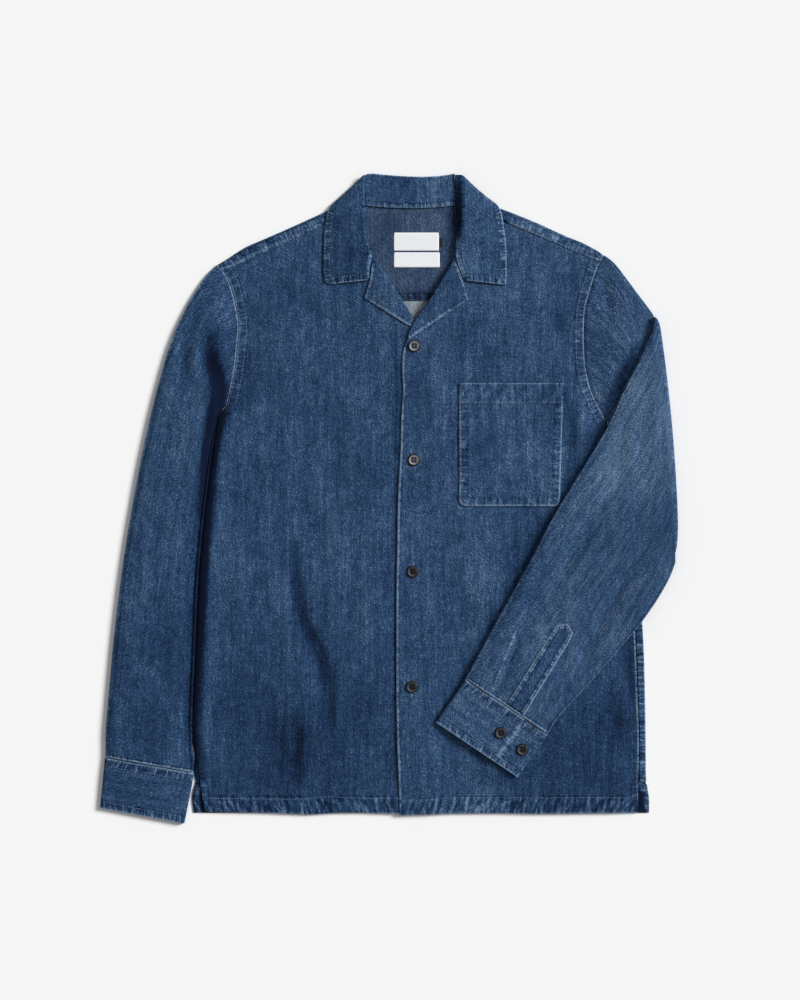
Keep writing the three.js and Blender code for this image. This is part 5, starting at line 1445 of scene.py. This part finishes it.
def denim_material(name, shades=DENIM_SHADES, light=0.0, contrast=1.0, both_sides=False):
    """Washed denim: twill, slubs along the warp, a soft uneven tone, painted shade from creases, shadows,
    slits and seam grooves, and seams that are worn light and dark.
    """
    material, tree, shader = new_material(name)
    n = Nodes(tree)
    twill = n.noise(n.cloth(5, 1.35, TWILL_ANGLE), 1)
    grain = n.noise(n.cloth(1.1, 1.25), 1)
    slub = n.noise(n.cloth(1.6, 8), 1)
    streaks = n.noise(n.cloth(2.4, 46), 1)
    wide = n.noise(n.cloth(8, 170), 1)
    weft = n.noise(n.cloth(22, 1.8), 1)
    patch = n.noise(n.cloth(9, 17), 2)
    cloud = n.noise(n.cloth(55, 90), 3)
    total = 0.0
    shares = (
        (twill, 0.85), (grain, 1.45), (slub, 0.36), (streaks, 0.36),
        (wide, 0.3), (weft, 0.2), (patch, 0.44), (cloud, 0.5),
    )
    for value, share in shares:
        part = n.math("MULTIPLY", n.math("SUBTRACT", value, 0.5), share * contrast)
        total = n.math("ADD", total, part)
    # Painted shade and light from the creases, shadows and slits, and the tone patches.
    total = n.math("ADD", total, n.attribute("shade_and_tone"))
    band, wear = n.attribute("band"), n.attribute("wear")
    off, inner = n.attribute("off"), n.attribute("inner")
    place = tree.nodes.new("ShaderNodeCombineXYZ")
    tree.links.new(n.math("MULTIPLY", n.attribute("along"), 1.35), place.inputs[0])
    tree.links.new(n.math("DIVIDE", off, 16.0), place.inputs[1])
    rope = n.math("MULTIPLY", n.math("SUBTRACT", n.noise(place.outputs[0], 1), 0.5), 3.4)
    rope = n.math("MULTIPLY", n.math("MAXIMUM", n.math("MINIMUM", rope, 0.55), -0.45), band)
    patchy = n.math("ADD", 0.35, n.noise(n.cloth(7, 7), 1))
    edge = n.math("MULTIPLY", n.math("MULTIPLY", line_mask(n, off, 0.0, 1.3), wear), patchy)
    pale = n.math("MULTIPLY", n.math("MULTIPLY", line_mask(n, inner, -0.4, 1.0), wear), patchy)
    # A groove beside each seam's band: sunk in the bump, and painted shade in the colour.
    groove_shade = n.math("MULTIPLY", line_mask(n, inner, 1.3, 1.2), band)
    ridge = n.attribute("ridge")
    for value, share in ((rope, 0.55), (ridge, 0.2), (edge, 0.55), (pale, 0.26), (groove_shade, -0.34)):
        total = n.math("ADD", total, n.math("MULTIPLY", value, share))
    total = n.math("ADD", total, 0.5 + light)
    color = n.ramp(total, shades)
    if both_sides:
        color = n.blend(n.attribute("inside"), color, n.ramp(total, INSIDE_SHADES))
    tree.links.new(color, shader.inputs["Base Color"])
    shader.inputs["Roughness"].default_value = 0.95
    shader.inputs["Specular IOR Level"].default_value = 0.08
    shader.inputs["Sheen Weight"].default_value = 0.04
    shader.inputs["Sheen Roughness"].default_value = 0.5

    relief = n.math("MULTIPLY", twill, 0.5)
    for value, share in ((grain, 0.7), (slub, 0.2), (rope, 0.75), (groove_shade, -0.5), (edge, 0.2)):
        relief = n.math("ADD", relief, n.math("MULTIPLY", value, share))
    bump = tree.nodes.new("ShaderNodeBump")
    bump.inputs["Strength"].default_value = 1.0
    bump.inputs["Distance"].default_value = 0.6 * MM
    tree.links.new(relief, bump.inputs["Height"])
    tree.links.new(bump.outputs[0], shader.inputs["Normal"])
    return material


def line_mask(n, distance, place, width):
    """A soft line where a distance is near a place, in millimetres."""
    away = n.math("DIVIDE", n.math("SUBTRACT", distance, place), width)
    return n.math("EXPONENT", n.math("MULTIPLY", n.math("MULTIPLY", away, away), -1.0))


def plain_material(name, color, roughness, grain=0.1, sheen=0.0, coat=0.0, cell=0.0012):
    """A small hard or woven thing: its colour broken by fine noise, with a little bump."""
    material, tree, shader = new_material(name)
    n = Nodes(tree)
    noise = n.clouds(cell)
    low = tuple(max(0.0, c * (1 - grain * 2)) for c in color)
    high = tuple(min(1.0, c * (1 + grain * 2)) for c in color)
    tree.links.new(n.ramp(noise, ((0.3, low), (0.7, high))), shader.inputs["Base Color"])
    shader.inputs["Roughness"].default_value = roughness
    shader.inputs["Sheen Weight"].default_value = sheen
    shader.inputs["Coat Weight"].default_value = coat
    bump = tree.nodes.new("ShaderNodeBump")
    bump.inputs["Strength"].default_value = 0.5
    bump.inputs["Distance"].default_value = 0.1 * MM
    tree.links.new(noise, bump.inputs["Height"])
    tree.links.new(bump.outputs[0], shader.inputs["Normal"])
    return material


DENIM = denim_material("denim")
DENIM_POCKET = denim_material("denim_pocket", light=0.025)
DENIM_YOKE = denim_material("denim_yoke", YOKE_SHADES, light=0.01, contrast=0.7)
DENIM_BACK = denim_material("denim_back", both_sides=True)
THREAD = plain_material("thread", (0.15, 0.22, 0.33), 0.8, 0.3, 0.2)
WHITE_WEAVE = plain_material("label_white", (0.83, 0.85, 0.88), 0.55, 0.04, 0.2, 0, 0.0006)
BLACK_WEAVE = plain_material("label_black", (0.004, 0.004, 0.006), 0.8, 0.02)


def horn_material(name, bowl_color, painted_gleam_color):
    """Polished dark horn: clouded, with a bowl of its own colour, bright rings that are partly its own colour
    and partly a painted highlight, and holes painted dark, partly for the cloth under them and partly as
    shade.
    """
    material, tree, shader = new_material(name)
    n = Nodes(tree)
    dark = n.ramp(n.clouds(0.004), ((0.3, (0.004, 0.005, 0.007)), (0.7, (0.022, 0.022, 0.025))))
    color = n.blend(n.math("MULTIPLY", n.attribute("bowl"), 1.0, True), dark, bowl_color)
    # The painted highlight over the ring.
    color = n.blend(n.math("MULTIPLY", n.attribute("painted_gleam"), 0.85, True), color, painted_gleam_color)
    # The holes, painted near black: dark cloth and painted shade.
    color = n.blend(n.attribute("hole"), color, (0.004, 0.004, 0.005))
    tree.links.new(color, shader.inputs["Base Color"])
    shader.inputs["Roughness"].default_value = 0.36
    shader.inputs["Specular IOR Level"].default_value = 0.3
    return material


# Each button's bowl colour, then the colour of its painted highlight.
HORN = horn_material("button_pale", (0.13, 0.13, 0.13), (0.36, 0.37, 0.38))
DARK_HORN = horn_material("button_dark", (0.012, 0.012, 0.015), (0.085, 0.09, 0.1))


def dress(thing, material, slot, *nodes):
    thing.data.materials.append(material)
    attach(thing, "root")
    if nodes:
        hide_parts(*nodes)


def sew_buttons(kind, places, height, pale):
    """Buttons on a piece of cloth, the first few of them with pale bowls."""
    for number, (x, y) in enumerate(places, 1):
        reach = [height(x + i * 5, y + j * 5) for i in (-1, 0, 1) for j in (-1, 0, 1)]
        base = max(z for z in reach if z is not None) + 0.05
        thing = button_mesh(f"{kind}_button_{number}", x, y, base)
        dress(thing, HORN if number <= pale else DARK_HORN, "button", f"button_{kind}_{number}")


# Camera first, straight over the table
camera_data = bpy.data.cameras.new("camera")
camera_data.lens = LENS
camera_data.sensor_width = SENSOR
camera = bpy.data.objects.new("camera", camera_data)
bpy.context.collection.objects.link(camera)
middle = to_frame((*PHOTO_MIDDLE, 0))
distance = PHOTO_HEIGHT / 2 * LENS / (SENSOR / 2)
camera.location = (middle[0], middle[1], distance)
bpy.context.scene.camera = camera

# Cloth
front_right, front_left = make_fronts()
lapel_right, lapel_left = make_lapels()
back = make_back()
yoke, yoke_inside = make_yoke()
sleeve_right = make_sleeve_right()
sleeve_left = make_sleeve_left()
cuff_right = make_cuff_right()
cuff_left = make_cuff_left()
placket, placket_seams = make_placket(surface_height(sleeve_left))
leaf_right, leaf_right_seams = make_leaf("collar_leaf_right_cloth", LEAF_RIGHT, front_right_under)
leaf_left, leaf_left_seams = make_leaf("collar_leaf_left_cloth", LEAF_LEFT, front_left_under)
collar_back, collar_back_seams = make_collar_back()
pocket, pocket_seams = make_pocket()
labels = make_labels()

cloth_pieces = (
    (front_right, DENIM, "denim", "front_right"),
    (front_left, DENIM, "denim", "front_left"),
    (lapel_right, DENIM, "denim", "lapel_right"),
    (lapel_left, DENIM, "denim", "lapel_left"),
    (back, DENIM_BACK, "denim_inside", "back_panel"),
    (yoke, DENIM, "denim", "yoke_outer"),
    (yoke_inside, DENIM_YOKE, "denim", "yoke_inner"),
    (sleeve_right, DENIM, "denim", "sleeve_right"),
    (sleeve_left, DENIM, "denim", "sleeve_left"),
    (cuff_right, DENIM, "denim", "cuff_right"),
    (cuff_left, DENIM, "denim", "cuff_left"),
    (placket, DENIM, "denim", "sleeve_placket_left"),
    (leaf_right, DENIM, "denim", "collar_leaf_right"),
    (leaf_left, DENIM, "denim", "collar_leaf_left"),
    (collar_back, DENIM, "denim", "collar_back"),
    (pocket, DENIM_POCKET, "denim", "pocket"),
    (labels["label_main"], WHITE_WEAVE, "label_white", "label_main"),
    (labels["label_care"], WHITE_WEAVE, "label_white", "label_care"),
    (labels["label_size"], BLACK_WEAVE, "label_black", "label_size"),
)
for thing, material, slot, node in cloth_pieces:
    dress(thing, material, slot, node)

# Stitches
armhole_right = path_of(ARMHOLE_RIGHT, "x", "y", 40)
armhole_left = path_of(ARMHOLE_LEFT, "x", "y", 40)
side_left = path_of(FRONT_LEFT, "side_x", "side_y", 40, 0.9, 9)
yoke_right = path_of(YOKE, "x", "seam", 16, 0, 5)
yoke_left = path_of(YOKE, "x", "seam", 16, 13, 18)
stitched = [
    stitch_paths("stitches_front_right", front_right, [
        HEM_STITCHES_RIGHT, *rows_beside(armhole_right, (1.6, 9.6), (0, 580))]),
    stitch_paths("stitches_front_left", front_left, [
        HEM_STITCHES_LEFT, *rows_beside(armhole_left, (1.6, 9.6), (0, 580)),
        *rows_beside(side_left, (2.2,), (0, 200))]),
    seam_stitches("stitches_pocket", pocket, pocket_seams, (117, 440)),
    seam_stitches("stitches_placket", placket, placket_seams, (150, 170)),
    seam_stitches("stitches_leaf_right", leaf_right, leaf_right_seams, (-80, 680)),
    seam_stitches("stitches_leaf_left", leaf_left, leaf_left_seams, (85, 680)),
    seam_stitches("stitches_collar", collar_back, collar_back_seams, (0, 750)),
    stitch_paths("stitches_yoke", yoke, [
        *rows_beside(yoke_right, (1.8,), (-170, 720)), *rows_beside(yoke_left, (1.8,), (170, 720))]),
    stitch_paths("stitches_cuff_right", cuff_right, [
        *rows_beside([(-368, 66.5), (-264, 48.6)], (1.8, 9.6), (-320, 20)),
        *rows_beside([(-373, 6.6), (-276, -11.6)], (7.6,), (-320, 40))]),
    stitch_paths("stitches_cuff_left", cuff_left, [
        *rows_beside([(64, 160), (159, 96.5)], (1.8, 9.6), (90, 90)),
        *rows_beside([(29, 108.5), (122, 46)], (7.6,), (110, 110))]),
]
front_height = surface_height(front_left)
bars = []
for x, y in BUTTONHOLE_ENDS:
    for rise in np.arange(0, 4.5, 0.7):
        z = front_height(x, y + rise) + THREAD_RADIUS / 2
        bars.append([(x - 1, y + rise, z), (x + 1, y + rise, z)])
stitched.append(capsules("stitches_buttonholes", bars, THREAD_RADIUS))
for thing in stitched:
    dress(thing, THREAD, "thread")

# Buttons
sew_buttons("front", FRONT_BUTTONS, front_height, 2)
sew_buttons("cuff", CUFF_BUTTONS, surface_height(cuff_left), 0)

# Floor and light
bpy.ops.mesh.primitive_plane_add(size=14, location=(0, 0, -0.0002))
floor = bpy.context.object
floor.name = "floor"
floor.data.materials.append(plain_material("paper", (0.93, 0.93, 0.93), 0.95, 0.0, 0, 0, 0.5))


sun_data = bpy.data.lights.new("window", "SUN")
sun_data.energy = SUN_STRENGTH
sun_data.angle = SUN_SIZE
sun = bpy.data.objects.new("window", sun_data)
sun.rotation_euler = (0, math.pi / 2 - SUN_HEIGHT, SUN_AZIMUTH)
bpy.context.collection.objects.link(sun)
world = bpy.data.worlds.new("studio")
bpy.context.scene.world = world
world.use_nodes = True
world.node_tree.nodes["Background"].inputs["Color"].default_value = (1, 1, 1, 1)
world.node_tree.nodes["Background"].inputs["Strength"].default_value = SKY_STRENGTH
bpy.context.scene.view_settings.view_transform = "Standard"
